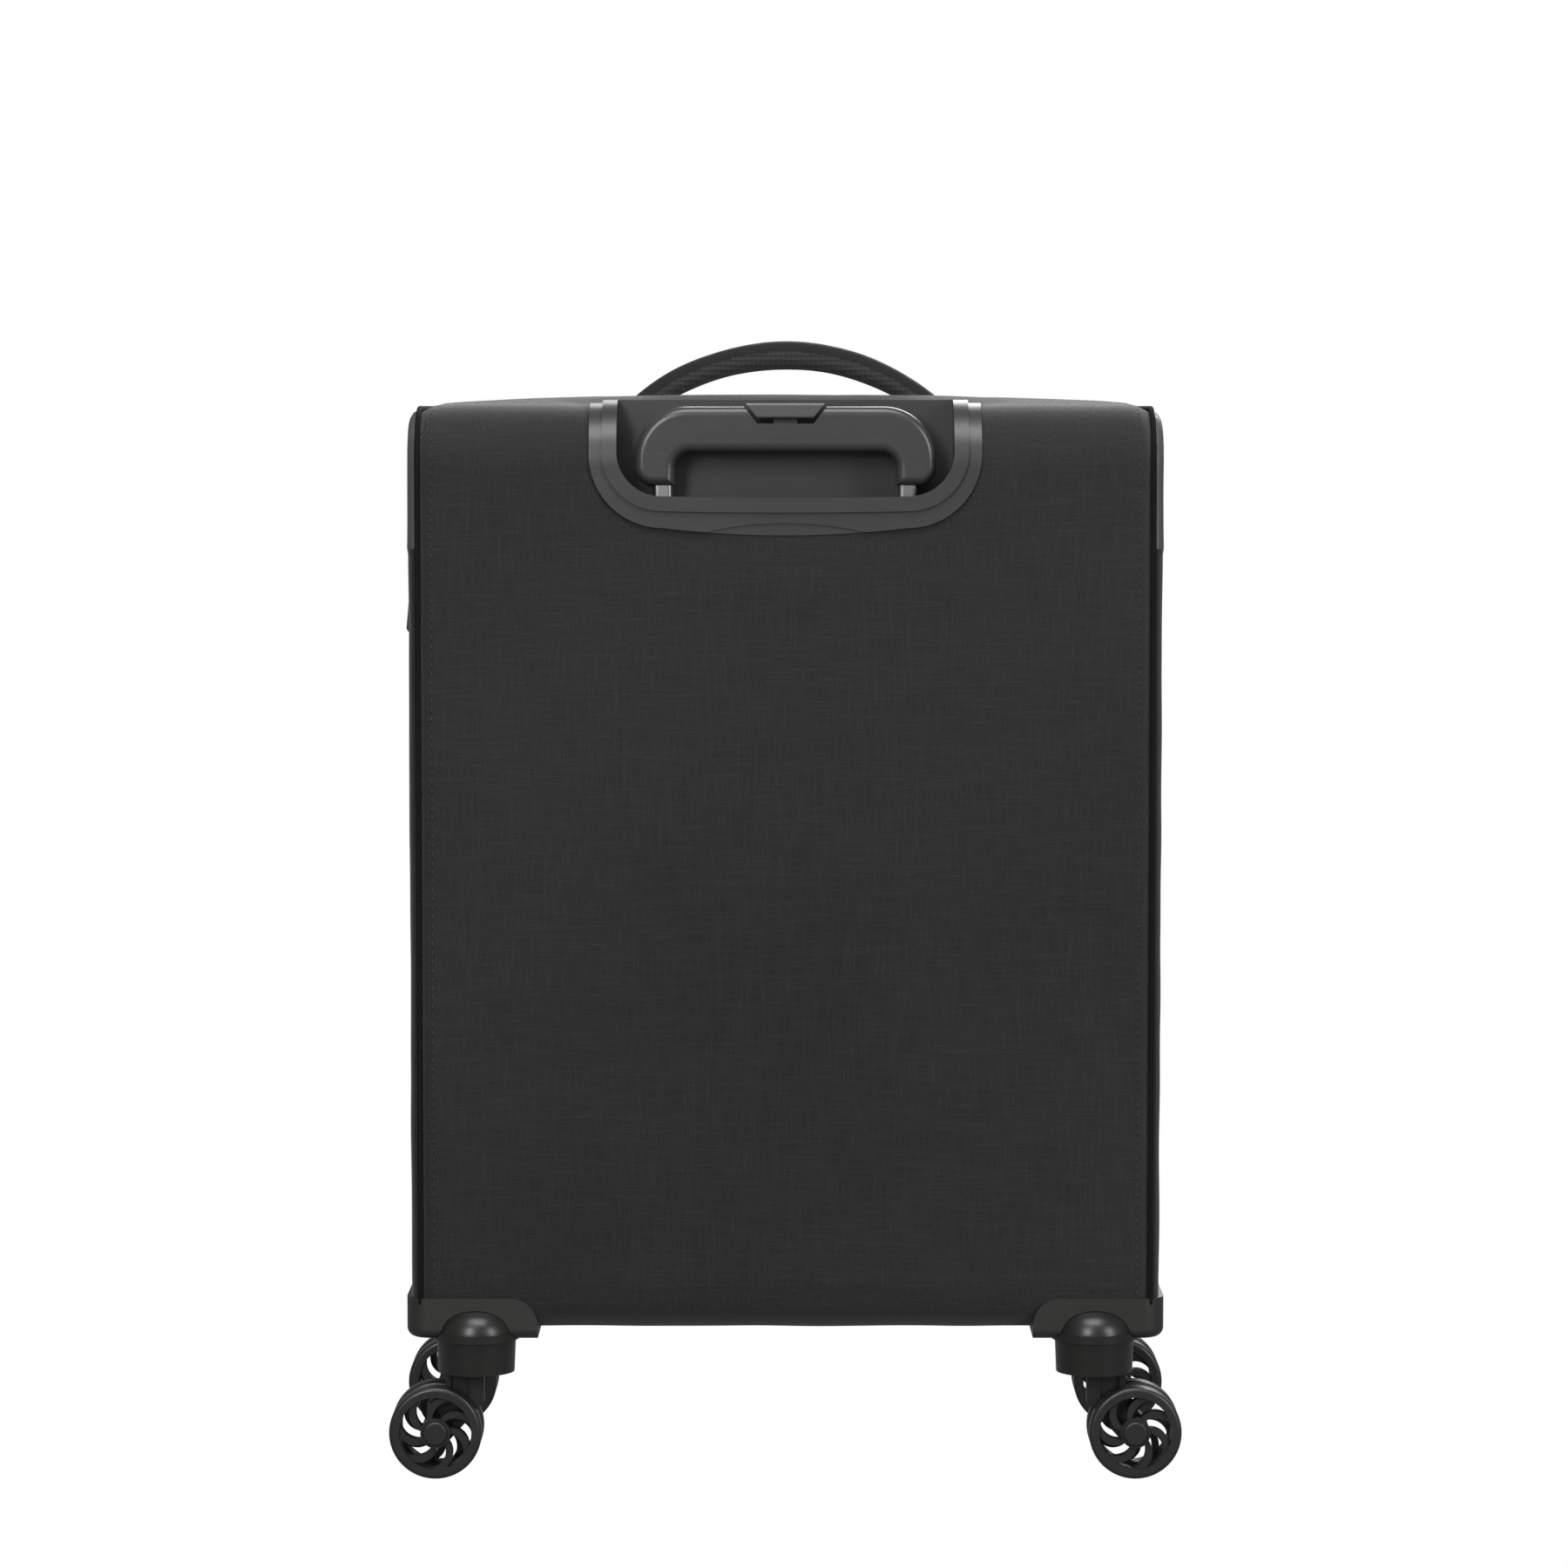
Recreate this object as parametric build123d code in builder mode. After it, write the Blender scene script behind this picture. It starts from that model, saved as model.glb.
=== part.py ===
from build123d import *
import os

# A cabin-size softside suitcase on four double-wheel casters: padded fabric walls on two frame hoops and a
# moulded base tray, a trolley handle in a cup at the rear, and a lid that opens like a door on its right.
# Frame: +Z up with the floor at z = 0, the rear (trolley side) towards -Y, the left side towards -X, and the
# origin under the middle of the whole object. All sizes are in millimetres.

# ---- Case ----
case_width = 385.0            # across the side panels
case_depth = 167.0            # from the rear panel to the face of the lid
case_top = 549.0              # the top panel, above the floor
lid_depth = 26.0              # from the zip line to the face of the lid
pocket_depth = 22.0           # how far the front pocket stands off the lid
side_wall = 4.6               # padded side panels
band_wall = 6.0               # padded rear and top panels
lid_wall = 5.0
roll_radius = 30.0            # the rear panel rolls over into the top panel
lid_roll_radius = 18.0
side_edge_radius = 4.0
fabric_gap = 0.3              # between sewn pieces that only lie side by side
cut_margin = 1.0              # how far a cutting shape runs past the face it cuts

# ---- Base tray and corner guards ----
tray_bottom = 77.0
tray_height = 21.0
tray_wall = 3.0
tray_inset = 2.0              # behind the side panels, and behind the rear panel
tray_edge_radius = 16.0
tray_corner_radius = 8.0
guard_bottom = 72.0
guard_height = 21.0
guard_reach_x = 67.5          # along the rear or the front
guard_reach_y = 62.0          # along the side
guard_proud_x = 2.0
guard_proud_y = 0.8
guard_corner_radius = 12.0
guard_end_radius = 14.0
guard_low_radius = 5.0        # along the outer bottom edge
guard_screw_spread = 16.0     # each screw to the side of the swivel axis
guard_screw_setback = 8.0     # behind the housing

# ---- Casters ----
swivel_side_inset = 33.5      # swivel axis, in from the side panel
caster_proud = 11.0           # the housing stands out behind the rear panel by this much
wheel_radius = 23.75
wheel_width = 11.0
wheel_side_gap = 0.4          # between a wheel and the fork leg
wheel_top_gap = 6.5           # between the wheels and the housing
wheel_trail = 20.6            # axle behind the swivel axis
tread_thickness = 5.2
tread_round = 2.2
hub_radius = 7.6
spoke_count = 7
spoke_width = 7.0
spoke_bend = 46.0             # degrees from hub to rim
spoke_spread = 20.0           # degrees that each spoke fills
spoke_root = 0.5              # of each spoke into the hub and the rim
spoke_curl = 0.35             # share of the bend reached half way out
axle_radius = 2.5
axle_cap_radius = 6.3
axle_cap_height = 1.5
running_clearance = 0.05      # radial, wheel on axle and fork on swivel pin
housing_radius = 20.3
housing_taper = 0.7
housing_wall = 3.2
housing_lip_radius = 22.0
housing_lip_height = 4.0
lip_drop = 1.0                # below the guard
housing_cavity_drop = 1.0     # the cavity ends below the lip
dome_radius = 21.0
dome_height = 12.0
dome_flat_radius = 5.0
dome_shoulder_x = 0.82        # the dome bulges out to this share of its radius
dome_shoulder_z = 0.64        # at this share of its height
pin_radius = 4.0
pin_head_radius = 6.0
pin_head_height = 1.8
pin_head_rise = 2.2           # above the mouth of the housing
pin_hold = 14.0               # how far the pin goes up into the housing's roof
fork_head_gap = 0.6           # between the fork head and the housing around it
fork_thickness = 7.0
fork_boss_radius = 7.0
fork_head_rise = 1.2          # the fork head sits inside the housing's mouth
fork_head_overlap = 3.0       # of the leg up into the head
fork_back_reach = 4.0
fork_front_reach = 16.0
fork_knee_height = 1.6 * wheel_radius
fork_shoulder_height = 1.94 * wheel_radius
fork_heel_height = 0.78 * wheel_radius
fork_rib = 3.0
fork_pocket_start = 3.2
fork_pocket_depth = 2.2
screw_radius = 1.5
screw_head_radius = 3.2
screw_head_height = 1.4
screw_length = 9.0

# ---- Trolley handle ----
tube_half_spacing = 62.4
tube_behind = 17.0            # tube axis, in from the rear panel
inner_tube_x = 10.0
inner_tube_y = 12.0
tube_wall = 1.0
tube_gap = 0.9                # between one tube and the next
tube_corner_radius = 2.5
slide_clearance = 0.1         # between a collar and the tube that slides in it
collar_skirt = 14.0
collar_rim = 1.3
stage_step = 6.0              # each tube's foot above the foot of the one around it
foot_height = 20.0
foot_half_width = 78.0
foot_front_lip = 0.8
foot_heel_ease = 0.5          # smaller radius than the tray's own inside corner
cup_depth = 31.0
cup_wall = 2.2
cup_half_width = 85.7
cup_low = 502.8               # lip of the opening
cup_lip_drop = 2.8            # the floor inside lies lower than the lip
cup_lip_width = 3.0
cup_corner_radius = 23.0
cup_bulge = 0.8
basin_corner_radius = 4.0
flange_half_width = 99.7
flange_low = 483.8
flange_corner_radius = 37.5
flange_bulge = 3.7
flange_proud = 1.8
flange_reach = 8.0            # in front of the cup, on the top panel
seam_drop = 4.0               # from the flange to the seam between the rear and top panels
ridge_width = 7.5
ridge_proud = 3.4
relief_half_width = 47.0
relief_height = 6.2
relief_depth = 0.9
grip_half_width = 76.8
grip_leg_width = 20.4
grip_bar_height = 23.0
grip_depth = 20.0
grip_low = 509.0
grip_wall = 2.4
grip_corner_radius = 27.0
grip_inner_radius = 8.0
grip_foot_radius = 9.0
grip_round = 4.5
tube_in_grip = 12.0
button_top_half = 20.0
button_low_half = 14.0
button_height = 7.4
button_proud = 1.6
button_gap = 0.35
button_travel = 2.5
button_face_proud = 0.3
button_edge_radius = 1.2
button_stem_overlap = 1.0
rod_radius = 2.0
yoke_size = 6.0
rod_overlap = 1.0             # of each rod into the yoke
rod_end_gap = 2.0             # above the foot of the inner tube at full press

# ---- Top carry handle ----
carry_half_span = 84.0
carry_rise = 34.0
carry_thickness = 14.5
carry_half_inner = 65.0
carry_width = 32.0
carry_round = 4.5
carry_foot_length = 14.0
carry_foot_height = 3.2

# ---- Frame hoops, piping, lining and straps ----
hoop_wire = 4.0
hoop_corner_radius = 12.0
hoop_inset = 1.0              # from the side panels
hoop_setback = 8.8            # of the front hoop from the mouth of the shell
piping_diameter = 3.2
piping_proud = 1.0
piping_seat = 0.2             # between the piping and each panel beside it
cover_thickness = 2.0
cover_gap = 1.0               # between the cover and the tubes
strap_width = 25.0
strap_thickness = 1.6
strap_half_spacing = 85.0
strap_end_gap = 22.0          # strap ends, in from the top and bottom of the lining panel

# ---- Zips, pullers and lock ----
zip_width = 3.4
zip_thickness = 2.2
zip_corner_radius = 6.0
zip_inset = 0.5
slider_length = 10.0
slider_width = 7.0
slider_height = 3.0
slider_corner = 2.0
slider_gap = 0.5              # between a main slider and the middle of the lock
tab_length = 26.0
tab_width = 5.6
tab_thickness = 1.6
tab_overlap = 2.0             # of the tab over its slider
tab_slot_inset = 6.0
tab_slot_length = 5.0
tab_slot_width = 2.0
lock_low = 430.0
lock_height = 45.0
lock_width = 26.0
lock_thin = 4.2
lock_thick = 7.8
lock_zip_gap = 5.0            # between the lock and the zip line
lock_edge = 1.0
lock_low_edge = 2.0
lock_high_edge = 1.5
lock_corner_radius = 3.0
dial_radius = 3.6
dial_height = 4.2
dial_pitch = 5.6
dial_count = 3
dial_gap = 0.4                # around each dial
dial_chamfer = 0.4
dial_first = 5.0              # lowest dial above the foot of the lock
release_first = 4.0           # release above the top dial
release_length = 7.0
release_width = 8.0
release_travel = 3.0
release_seat = 1.5            # floor of the window, out from the side panel
release_proud = 2.0
release_edge_radius = 0.8
window_gap = 0.3
pocket_half_width = 166.0
pocket_low_gap = 18.0         # above the lower edge of the lid
pocket_height = 284.0
pocket_round = 16.0
pocket_edge_share = 0.7       # of the corner radius, along the face
pocket_zip_half = 150.0
pocket_zip_width = 5.0
pocket_zip_thickness = 1.4
upper_zip_height = 468.0

# ---- Places worked out from the sizes above ----
half_width = case_width / 2
overall_depth = caster_proud + case_depth + pocket_depth
rear_y = -overall_depth / 2 + caster_proud
face_y = rear_y + case_depth
zip_y = face_y - lid_depth
shell_front_y = zip_y - zip_width / 2 - fabric_gap
lid_rear_y = zip_y + zip_width / 2 + fabric_gap
tray_top = tray_bottom + tray_height
walls_low = tray_top + fabric_gap
lid_low = walls_low + 2.0
band_half = half_width - side_wall - piping_diameter - 2 * piping_seat
panel_seam_z = flange_low - seam_drop
swivel_x = half_width - swivel_side_inset
swivel_inset = housing_lip_radius - caster_proud
housing_bottom = 2 * wheel_radius + wheel_top_gap
guard_top = guard_bottom + guard_height
lip_bottom = guard_bottom - lip_drop
lip_top = lip_bottom + housing_lip_height
dome_top = lip_top + dome_height
housing_cavity_radius = housing_radius - housing_taper - housing_wall
housing_cavity_top = lip_bottom - housing_cavity_drop
pin_top = housing_cavity_top + pin_hold
pin_head_low = housing_bottom + pin_head_rise
tube_y = rear_y + tube_behind
cup_back_y = rear_y + cup_depth
cup_floor_z = cup_low - cup_lip_drop
middle_tube_x = inner_tube_x + 2 * (tube_gap + tube_wall)
middle_tube_y = inner_tube_y + 2 * (tube_gap + tube_wall)
outer_tube_x = middle_tube_x + 2 * (tube_gap + tube_wall)
outer_tube_y = middle_tube_y + 2 * (tube_gap + tube_wall)
outer_tube_top = cup_floor_z - cup_wall
foot_low = tray_bottom + tray_wall
outer_tube_low = foot_low + foot_height / 2
middle_tube_low = outer_tube_low + stage_step
inner_tube_low = middle_tube_low + stage_step
outer_collar_top = cup_floor_z + collar_rim
middle_tube_top = outer_collar_top + fabric_gap
middle_collar_top = middle_tube_top + collar_rim
inner_tube_top = grip_low + tube_in_grip
cover_y = tube_y + outer_tube_y / 2 + cover_gap
cover_front_y = cover_y + cover_thickness
lock_front_y = zip_y - lock_zip_gap
lock_rear_y = lock_front_y - lock_width

corners = [("rear_left", -1, -1), ("rear_right", 1, -1), ("front_left", -1, 1), ("front_right", 1, 1)]

os.makedirs("parts", exist_ok=True)


def plane_xz(y):
    """An upright plane across the case: local x is X, local y is Z."""
    return Plane.XZ.offset(-y)


def plane_yz(x):
    """An upright plane along the case: local x is Y, local y is Z."""
    return Plane.YZ.offset(x)


def block(low, high, mode=Mode.ADD):
    """A box between two opposite corners."""
    centre = [(a + b) / 2 for a, b in zip(low, high)]
    size = [abs(b - a) for a, b in zip(low, high)]
    with Locations(tuple(centre)):
        Box(*size, mode=mode)


def save(piece, name):
    piece.part.label = name
    export_step(piece.part, f"parts/{name}.step")


def swivel_y(side_y):
    """Swivel axis of a rear (-1) or front (1) caster."""
    edge = rear_y if side_y < 0 else face_y
    return edge - side_y * swivel_inset


# ---------------------------------------------------------------- fabric walls
def band_section(proud, depth, front_y, low_z):
    """Section of a layer that follows the rear and top of the case, from proud outside it to depth inside."""
    with BuildSketch() as section:
        with BuildLine():
            outer = FilletPolyline(
                (front_y, case_top + proud),
                (rear_y - proud, case_top + proud),
                (rear_y - proud, low_z),
                radius=roll_radius + proud,
            )
            inner = FilletPolyline(
                (front_y, case_top - depth),
                (rear_y + depth, case_top - depth),
                (rear_y + depth, low_z),
                radius=roll_radius - depth,
            )
            Line(outer @ 0, inner @ 0)
            Line(outer @ 1, inner @ 1)
        make_face()
    return section.sketch


def cup_outline(half, low, corner, bulge, high):
    """The cup seen from behind: straight sides, round lower corners and a gently bulging lower edge."""
    bend = low + bulge + corner
    with BuildSketch() as section:
        with BuildLine():
            Line((-half, high), (-half, bend))
            CenterArc((-half + corner, bend), corner, 180, 90)
            ThreePointArc((-half + corner, low + bulge), (0, low), (half - corner, low + bulge))
            CenterArc((half - corner, bend), corner, 270, 90)
            Line((half, bend), (half, high))
            Line((half, high), (-half, high))
        make_face()
    return section.sketch


def basin_outline(half, low, corner, high):
    """The cup's basin seen from behind, with a flat floor between two small round corners."""
    with BuildSketch() as section:
        with Locations((0, (low + high) / 2)):
            Rectangle(2 * half, high - low)
        fillet(section.vertices().group_by(Axis.Y)[0], corner)
    return section.sketch


def make_rear_panel():
    with BuildPart() as panel:
        block((-band_half, rear_y, walls_low), (band_half, rear_y + band_wall, panel_seam_z))
    save(panel, "rear_panel")


def make_top_panel():
    with BuildPart() as panel:
        with BuildSketch(plane_yz(0)):
            add(band_section(0, band_wall, shell_front_y, panel_seam_z))
        extrude(amount=band_half, both=True)
        hole_half = cup_half_width + cup_wall + fabric_gap
        hole_low = cup_floor_z - cup_wall - fabric_gap
        with BuildSketch(plane_xz(cup_back_y + cup_wall + fabric_gap)):
            add(basin_outline(hole_half, hole_low, basin_corner_radius, case_top + cut_margin))
        extrude(amount=2 * cup_depth, mode=Mode.SUBTRACT)
    save(panel, "top_panel")


def make_side_panel(name, side_x):
    with BuildPart() as panel:
        with BuildSketch(plane_yz(side_x * (half_width - side_wall / 2))):
            with BuildLine():
                back = FilletPolyline(
                    (shell_front_y, case_top), (rear_y, case_top), (rear_y, walls_low), radius=roll_radius
                )
                Polyline(back @ 0, (shell_front_y, walls_low), back @ 1)
            make_face()
        extrude(amount=side_wall / 2, both=True)
        outer_face = panel.faces().sort_by(Axis.X)[0 if side_x < 0 else -1]
        soft_edges = [
            edge
            for edge in outer_face.edges()
            if edge.center().Y < shell_front_y - cut_margin and edge.center().Z > walls_low + cut_margin
        ]
        fillet(soft_edges, side_edge_radius)
    save(panel, name)


# ---------------------------------------------------------------- base tray and corner guards
def housing_section(spread, with_bore):
    """Half section of a caster housing, grown by spread: local x is the radius and local y the height."""
    lip = housing_lip_radius + spread
    shoulder = dome_radius + spread
    rim = housing_radius - housing_taper + spread
    with BuildSketch() as section:
        with BuildLine():
            Line((shoulder, lip_top), (lip, lip_top))
            Line((lip, lip_top), (lip, lip_bottom))
            Line((lip, lip_bottom), (housing_radius + spread, lip_bottom))
            Line((housing_radius + spread, lip_bottom), (rim, housing_bottom))
            if with_bore:
                Polyline(
                    (rim, housing_bottom),
                    (housing_cavity_radius, housing_bottom),
                    (housing_cavity_radius, housing_cavity_top),
                    (pin_radius, housing_cavity_top),
                    (pin_radius, pin_top),
                    (0, pin_top),
                    (0, dome_top + spread),
                )
            else:
                Polyline((rim, housing_bottom), (0, housing_bottom), (0, dome_top + spread))
            Line((0, dome_top + spread), (dome_flat_radius, dome_top + spread))
            ThreePointArc(
                (dome_flat_radius, dome_top + spread),
                (dome_shoulder_x * shoulder, lip_top + dome_shoulder_z * (dome_height + spread)),
                (shoulder, lip_top),
            )
        make_face()
    return section.sketch


def housing_plane(side_x, side_y):
    return Plane(origin=(side_x * swivel_x, swivel_y(side_y), 0), x_dir=(1, 0, 0), z_dir=(0, -1, 0))


def swivel_axis(side_x, side_y):
    return Axis((side_x * swivel_x, swivel_y(side_y), 0), (0, 0, 1))


def guard_screw_places(side_x, side_y):
    """Two screws per guard, on the side of the housing that lies under the case."""
    y = swivel_y(side_y) - side_y * (housing_lip_radius + guard_screw_setback)
    return [(side_x * swivel_x + offset, y) for offset in (-guard_screw_spread, guard_screw_spread)]


def tray_shape(inset):
    """The outside of the base tray, moved in by inset and open upwards when it is a cavity."""
    inward = tray_inset + inset
    half = half_width - inward
    with BuildPart() as shape:
        block((-half, rear_y + inward, tray_bottom + inset), (half, face_y - inward, tray_top + inset))
        fillet(shape.edges().filter_by(Axis.Z), tray_corner_radius - inset)
        low_edges = shape.faces().sort_by(Axis.Z)[0].edges().filter_by(Axis.X)
        fillet(low_edges, tray_edge_radius - inset)
    return shape.part


def make_base_tray():
    with BuildPart() as tray:
        add(tray_shape(0))
        add(tray_shape(tray_wall), mode=Mode.SUBTRACT)
        for _, side_x, side_y in corners:
            with Locations((side_x * swivel_x, swivel_y(side_y), (dome_top + fabric_gap) / 2)):
                Cylinder(housing_lip_radius + fabric_gap, dome_top + fabric_gap, mode=Mode.SUBTRACT)
            with Locations(*[(x, y, tray_bottom) for x, y in guard_screw_places(side_x, side_y)]):
                Cylinder(screw_radius, 4 * tray_wall, mode=Mode.SUBTRACT)
    save(tray, "base_tray")


def make_corner_guard(name, side_x, side_y):
    edge_y = rear_y if side_y < 0 else face_y
    outer_x = side_x * (half_width + guard_proud_x)
    outer_y = edge_y + side_y * guard_proud_y
    end_x = outer_x - side_x * guard_reach_x
    end_y = outer_y - side_y * guard_reach_y
    with BuildPart() as guard:
        block((outer_x, outer_y, guard_bottom), (end_x, end_y, guard_top))
        uprights = guard.edges().filter_by(Axis.Z)
        outermost = uprights.sort_by(lambda edge: side_x * edge.center().X + side_y * edge.center().Y)[-1]
        fillet(outermost, guard_corner_radius)
        low_rim = [
            edge
            for edge in guard.faces().sort_by(Axis.Z)[0].edges()
            if abs(edge.center().X - end_x) > cut_margin and abs(edge.center().Y - end_y) > cut_margin
        ]
        fillet(low_rim, guard_low_radius)
        add(tray_shape(-fabric_gap), mode=Mode.SUBTRACT)
        upper = guard.edges().group_by(Axis.Z)[-1]
        rear_end = upper.filter_by(Axis.Y).sort_by(lambda edge: side_x * edge.center().X)[0]
        side_end = upper.filter_by(Axis.X).sort_by(lambda edge: side_y * edge.center().Y)[0]
        fillet([rear_end, side_end], guard_end_radius)
        with BuildSketch(housing_plane(side_x, side_y)):
            add(housing_section(fabric_gap, False))
        revolve(axis=swivel_axis(side_x, side_y), mode=Mode.SUBTRACT)
        with Locations(*[(x, y, guard_bottom) for x, y in guard_screw_places(side_x, side_y)]):
            Cylinder(screw_radius, 4 * tray_wall, mode=Mode.SUBTRACT)
    save(guard, f"corner_guard_{name}")


# ---------------------------------------------------------------- casters
def make_housing(name, side_x, side_y):
    with BuildPart() as housing:
        with BuildSketch(housing_plane(side_x, side_y)):
            add(housing_section(0, True))
        revolve(axis=swivel_axis(side_x, side_y))
    save(housing, f"caster_housing_{name}")


def make_swivel_pins():
    with BuildPart() as pins:
        for _, side_x, side_y in corners:
            with BuildSketch(housing_plane(side_x, side_y)):
                with BuildLine():
                    Polyline(
                        (0, pin_head_low),
                        (pin_head_radius, pin_head_low),
                        (pin_head_radius, pin_head_low + pin_head_height),
                        (pin_radius, pin_head_low + pin_head_height),
                        (pin_radius, pin_top),
                        (0, pin_top),
                        close=True,
                    )
                make_face()
            revolve(axis=swivel_axis(side_x, side_y))
    save(pins, "swivel_pins")


def make_fork(name, side_x, side_y):
    axis_x = side_x * swivel_x
    axis_y = swivel_y(side_y)
    head_low = housing_bottom + fork_head_rise
    head_high = housing_cavity_top - fork_head_gap
    leg_top = head_low + fork_head_overlap
    rib_reach = fork_front_reach - fork_rib
    leg = [
        (-fork_back_reach, leg_top),
        (-fork_back_reach, fork_knee_height),
        (wheel_trail - fork_boss_radius, fork_heel_height),
        (wheel_trail, wheel_radius - fork_boss_radius),
        (wheel_trail + fork_boss_radius, wheel_radius),
        (fork_front_reach, fork_shoulder_height),
        (fork_front_reach, leg_top),
    ]
    pocket = [
        (fork_pocket_start, housing_bottom),
        (rib_reach, housing_bottom),
        (rib_reach, fork_shoulder_height - cut_margin),
        (fork_pocket_start, fork_knee_height),
    ]
    with BuildPart() as fork:
        with Locations((axis_x, axis_y, (head_low + head_high) / 2)):
            Cylinder(housing_cavity_radius - fork_head_gap, head_high - head_low)
        with BuildSketch(plane_xz(axis_y)):
            with BuildLine():
                Polyline(*[(axis_x + side_x * reach, height) for reach, height in leg], close=True)
            make_face()
            with Locations((axis_x + side_x * wheel_trail, wheel_radius)):
                Circle(fork_boss_radius)
        extrude(amount=fork_thickness / 2, both=True)
        for side in (-1, 1):
            with BuildSketch(plane_xz(axis_y + side * fork_thickness / 2)):
                with BuildLine():
                    Polyline(*[(axis_x + side_x * reach, height) for reach, height in pocket], close=True)
                make_face()
            extrude(amount=fork_pocket_depth, both=True, mode=Mode.SUBTRACT)
        with BuildSketch(housing_plane(side_x, side_y)):
            with BuildLine():
                recess = pin_head_radius + fork_head_gap
                bore = pin_radius + running_clearance
                recess_top = pin_head_low + pin_head_height + running_clearance
                Polyline(
                    (0, head_low),
                    (recess, head_low),
                    (recess, recess_top),
                    (bore, recess_top),
                    (bore, head_high + cut_margin),
                    (0, head_high + cut_margin),
                    close=True,
                )
            make_face()
        revolve(axis=swivel_axis(side_x, side_y), mode=Mode.SUBTRACT)
        with BuildSketch(plane_xz(axis_y)):
            with Locations((axis_x + side_x * wheel_trail, wheel_radius)):
                Circle(axle_radius)
        extrude(amount=fork_thickness, both=True, mode=Mode.SUBTRACT)
    save(fork, f"caster_fork_{name}")


def make_axle(name, side_x, side_y):
    shaft_half = fork_thickness / 2 + 2 * wheel_side_gap + wheel_width
    with BuildPart() as axle:
        with BuildSketch(plane_xz(swivel_y(side_y))):
            with Locations((side_x * (swivel_x + wheel_trail), wheel_radius)):
                Circle(axle_radius)
        extrude(amount=shaft_half, both=True)
        for side in (-1, 1):
            with BuildSketch(plane_xz(swivel_y(side_y) + side * (shaft_half + axle_cap_height / 2))):
                with Locations((side_x * (swivel_x + wheel_trail), wheel_radius)):
                    Circle(axle_cap_radius)
            extrude(amount=axle_cap_height / 2, both=True)
            rim = axle.faces().sort_by(Axis.Y)[0 if side < 0 else -1].edges()
            fillet(rim, 0.8 * axle_cap_height)
    save(axle, f"axle_{name}")


def make_wheel(name, side_x, side_y, outward):
    """One wheel of the pair: outward is 1 for the wheel that faces away from the case."""
    middle_y = swivel_y(side_y) + side_y * outward * (fork_thickness / 2 + wheel_side_gap + wheel_width / 2)
    centre_x = side_x * (swivel_x + wheel_trail)
    rim_radius = wheel_radius - tread_thickness
    first_spoke = 0 if outward > 0 else 180 / spoke_count
    with BuildPart() as wheel:
        with BuildSketch(plane_xz(middle_y)):
            with Locations((centre_x, wheel_radius)):
                Circle(wheel_radius)
                Circle(rim_radius, mode=Mode.SUBTRACT)
        extrude(amount=wheel_width / 2, both=True)
        rims = wheel.edges().filter_by(GeomType.CIRCLE)
        fillet([edge for edge in rims if edge.radius > rim_radius + cut_margin], tread_round)
        with BuildSketch(plane_xz(middle_y)):
            with Locations((centre_x, wheel_radius)):
                Circle(hub_radius)
        extrude(amount=wheel_width / 2, both=True)
        with BuildSketch(plane_xz(middle_y)):
            with Locations((centre_x, wheel_radius)):
                with PolarLocations(0, spoke_count, start_angle=first_spoke):
                    add(spoke_face())
        extrude(amount=spoke_width / 2, both=True)
        with BuildSketch(plane_xz(middle_y)):
            with Locations((centre_x, wheel_radius)):
                Circle(axle_radius + running_clearance)
        extrude(amount=wheel_width, both=True, mode=Mode.SUBTRACT)
    save(wheel, f"wheel_{'outer' if outward > 0 else 'inner'}_{name}")


def spoke_face():
    """One swept spoke from hub to rim, drawn about the wheel's centre."""
    start = hub_radius - spoke_root
    end = wheel_radius - tread_thickness + spoke_root
    middle = (start + end) / 2

    def swept(turn):
        return [
            Vector(radius, 0).rotate(Axis.Z, turn - share * spoke_bend)
            for radius, share in [(start, 0), (middle, spoke_curl), (end, 1)]
        ]

    with BuildSketch() as spoke:
        with BuildLine():
            leading = ThreePointArc(*swept(0))
            trailing = ThreePointArc(*swept(spoke_spread))
            Line(leading @ 0, trailing @ 0)
            Line(leading @ 1, trailing @ 1)
        make_face()
    return spoke.sketch


def make_screws():
    with BuildPart() as screws:
        for _, side_x, side_y in corners:
            for x, y in guard_screw_places(side_x, side_y):
                with Locations((x, y, guard_bottom - screw_head_height / 2)):
                    Cylinder(screw_head_radius, screw_head_height)
                with Locations((x, y, guard_bottom + screw_length / 2)):
                    Cylinder(screw_radius, screw_length)
    save(screws, "screws")


# ---------------------------------------------------------------- trolley handle
def tube_pair(size_x, size_y, low, high):
    """Two closed columns on the tube axes."""
    with BuildPart() as columns:
        with BuildSketch(Plane.XY.offset(low)):
            with Locations((-tube_half_spacing, tube_y), (tube_half_spacing, tube_y)):
                RectangleRounded(size_x, size_y, tube_corner_radius)
        extrude(amount=high - low)
    return columns.part


def make_tubes(name, size_x, size_y, low, high):
    with BuildPart() as tubes:
        add(tube_pair(size_x, size_y, low, high))
        bore = tube_pair(size_x - 2 * tube_wall, size_y - 2 * tube_wall, low - cut_margin, high + cut_margin)
        add(bore, mode=Mode.SUBTRACT)
    save(tubes, name)


def make_collars(name, outer_x, outer_y, slide_x, slide_y, top):
    """Bushings in the tops of a tube pair: a skirt inside the tube and a rim on top of it."""
    rim_low = top - collar_rim
    with BuildPart() as collars:
        add(tube_pair(outer_x, outer_y, rim_low, top))
        add(tube_pair(outer_x - 2 * tube_wall, outer_y - 2 * tube_wall, rim_low - collar_skirt, rim_low))
        bore_x = slide_x + 2 * slide_clearance
        bore_y = slide_y + 2 * slide_clearance
        bore_low = rim_low - collar_skirt - cut_margin
        add(tube_pair(bore_x, bore_y, bore_low, top + cut_margin), mode=Mode.SUBTRACT)
    save(collars, name)


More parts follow.
